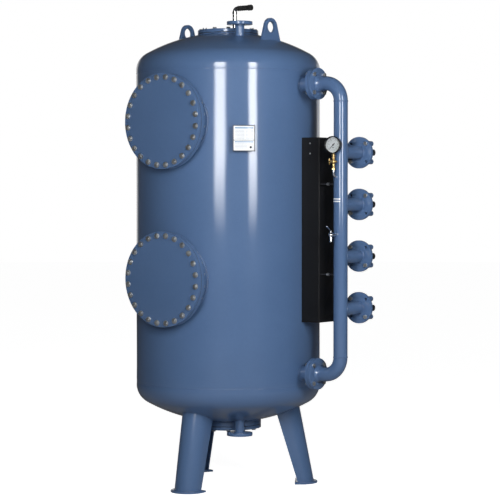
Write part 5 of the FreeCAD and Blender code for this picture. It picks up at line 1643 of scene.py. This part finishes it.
def leg(node, azimuth):
    spoke = Matrix.Rotation(math.radians(azimuth), 3, "Z")
    lean = Matrix.Rotation(-LEG_LEAN, 3, "Y")
    origin = spoke @ Vector((LEG_FLOOR, 0, 0))
    rise = spoke @ lean @ Vector((0, 0, 1))
    rows = 10
    rings = []
    seam = []
    for radius in (LEG_RADIUS, LEG_RADIUS - LEG_WALL):
        columns = []
        section = leg_section(radius, LEG_SIDE)
        for point in section:
            def at(height):
                grown = Vector(point)
                if point.x < 0:
                    share = point.x / -LEG_SIDE
                    grown.x = -(LEG_SIDE + height * LEG_TAPER) * share
                return origin + spoke @ lean @ (grown + Vector((0, 0, height)))
            floor_height = 0.0
            for _ in range(6):
                floor_height += (FOOT - at(floor_height).z) / rise.z
            low_h, high_h = 0.0, LEG_REACH
            for _ in range(44):
                top_height = (low_h + high_h) / 2
                spot = at(top_height)
                reach = math.hypot(spot.x, spot.y)
                inside = reach < RADIUS and spot.z > LOW_SEAM - head_rise(min(reach, RADIUS - 1e-6))
                if inside:
                    high_h = top_height
                else:
                    low_h = top_height
            columns.append([at(floor_height + (top_height + 0.002 - floor_height) * r / rows)
                            for r in range(rows + 1)])
            if radius == LEG_RADIUS:
                seam.append(at(top_height))
        rings.append(columns)
    outer, inner = rings
    loop = outer + inner[::-1]
    points = [point for column in loop for point in column]
    width = rows + 1
    count = len(loop)
    faces = band(count, width, closed=True, wrap=False)
    half = len(outer)
    for row in (0, rows):
        for number in range(half - 1):
            other = count - 1 - number
            faces.append((number * width + row, (number + 1) * width + row,
                          (other - 1) * width + row, other * width + row))
    plate = raw_mesh("leg", points, faces, 35.0)
    foot_line = [column[0] for column in outer]
    welds = [(bead(seam, 0.0055, closed=False), WELD), (bead(foot_line, 0.005, closed=False), WELD)]
    painted(f"{node}_plate", [(plate, BLUE)] + welds, node)


FIRST_LEG = -85.0
FOOT_MARGIN = 0.023
ANCHOR_HOLE = 0.011
ANCHOR_AT = (-0.020, 0.0)
rim = LEG_RADIUS + FOOT_MARGIN
side = LEG_SIDE + FOOT_MARGIN
outline = [(-side, -rim)] + [polar(rim, math.pi * (step / 32 - 0.5)) for step in range(33)]
outline.append((-side, rim))
feet = []
for order, node in enumerate(("front_leg", "right_leg", "rear_leg")):
    azimuth = FIRST_LEG + 120.0 * order
    leg(node, azimuth)
    foot = cut_plate([outline, loop_points(ANCHOR_HOLE, ANCHOR_AT, 28)], FOOT, 0.001)
    shift = Matrix.Rotation(math.radians(azimuth), 4, "Z") @ Matrix.Translation((LEG_FLOOR, 0, 0))
    foot.transform(shift)
    feet.append((foot, BLUE))
painted("feet", feet, "foot_plates")

# %% [markdown]
# ## Lifting lugs
# Two plates stand on the top head for the crane. Each is cut with a round top and a hole for the
# shackle, and is welded to the head on both faces.
# %% Lifting lugs
lug_mounts = [m for m in frame["record"]["mounts"] if m["name"].startswith("lifting_eye")]
LUG_THICK = 0.020
LUG_BASE = 0.175
LUG_TOP = 0.058
LUG_HOLE = 0.035
LUG_FOOT = 2.876       # the level where a lug's straight edges start
lug_parts = []
for mount in lug_mounts:
    eye = Vector(mount["pos_m"])
    out = Vector(mount["axis"]).normalized()
    across = Z.cross(out).normalized()
    distance = eye.dot(out)
    profile = []
    sides = []
    for step in range(25):
        side = LUG_BASE / 2 * (1 - 2 * step / 24)
        reach = math.hypot(distance, side)
        level = HIGH_SEAM + head_rise(reach) - 0.004
        profile.append((side, level - eye.z))
        sides.append(side)
    tall = eye.z - LUG_FOOT
    lift = math.degrees(math.asin(LUG_TOP / math.hypot(LUG_BASE / 2, tall)))
    slope = math.degrees(math.atan2(tall, LUG_BASE / 2))
    first = slope - lift
    for step in range(25):
        profile.append(polar(LUG_TOP, math.radians(180 - first + (2 * first - 180) * step / 24)))
    plate = cut_plate([profile, loop_points(LUG_HOLE, steps=48)], LUG_THICK, 0.0012)
    lay = Matrix((
        (across.x, 0, out.x, 0), (across.y, 0, out.y, 0), (0, 1, 0, 0), (0, 0, 0, 1),
    ))
    centre = eye - out * (LUG_THICK / 2)
    plate.transform(Matrix.Translation(centre) @ lay)
    lug_parts.append((plate, BLUE))
    for face_side in (-1, 1):
        depth = distance + face_side * LUG_THICK / 2
        line = []
        for side in sides:
            reach = math.hypot(depth, side)
            line.append(out * depth + across * side + Z * (HIGH_SEAM + head_rise(reach)))
        lug_parts.append((bead(line, 0.005, closed=False), WELD))
painted("lifting_plates", lug_parts, "lifting_lugs")

# %% [markdown]
# ## Inside
# The parts inside the tank are never seen in use. They keep the engineering model's own shapes and
# take the finish of their stuff: stainless for the nozzle plate and the inlet cup, natural plastic
# for the strainers, and stone for the two beds.
# %% Inside finishes
inside = {"nozzle_plate": STAINLESS, "strainers": NATURAL, "gravel_bed": GRAVEL, "sand_bed": SAND,
          "inlet_distributor": STAINLESS, "header_blank": BLUE}
slots = {entry["node"]: entry["material_slot"] for entry in frame["record"]["subparts"]}
for node, material in inside.items():
    thing = frame["nodes"][node]
    thing.data.materials.clear()
    thing.data.materials.append(material)
    print(node, "->", material.name, "slot", slots[node])
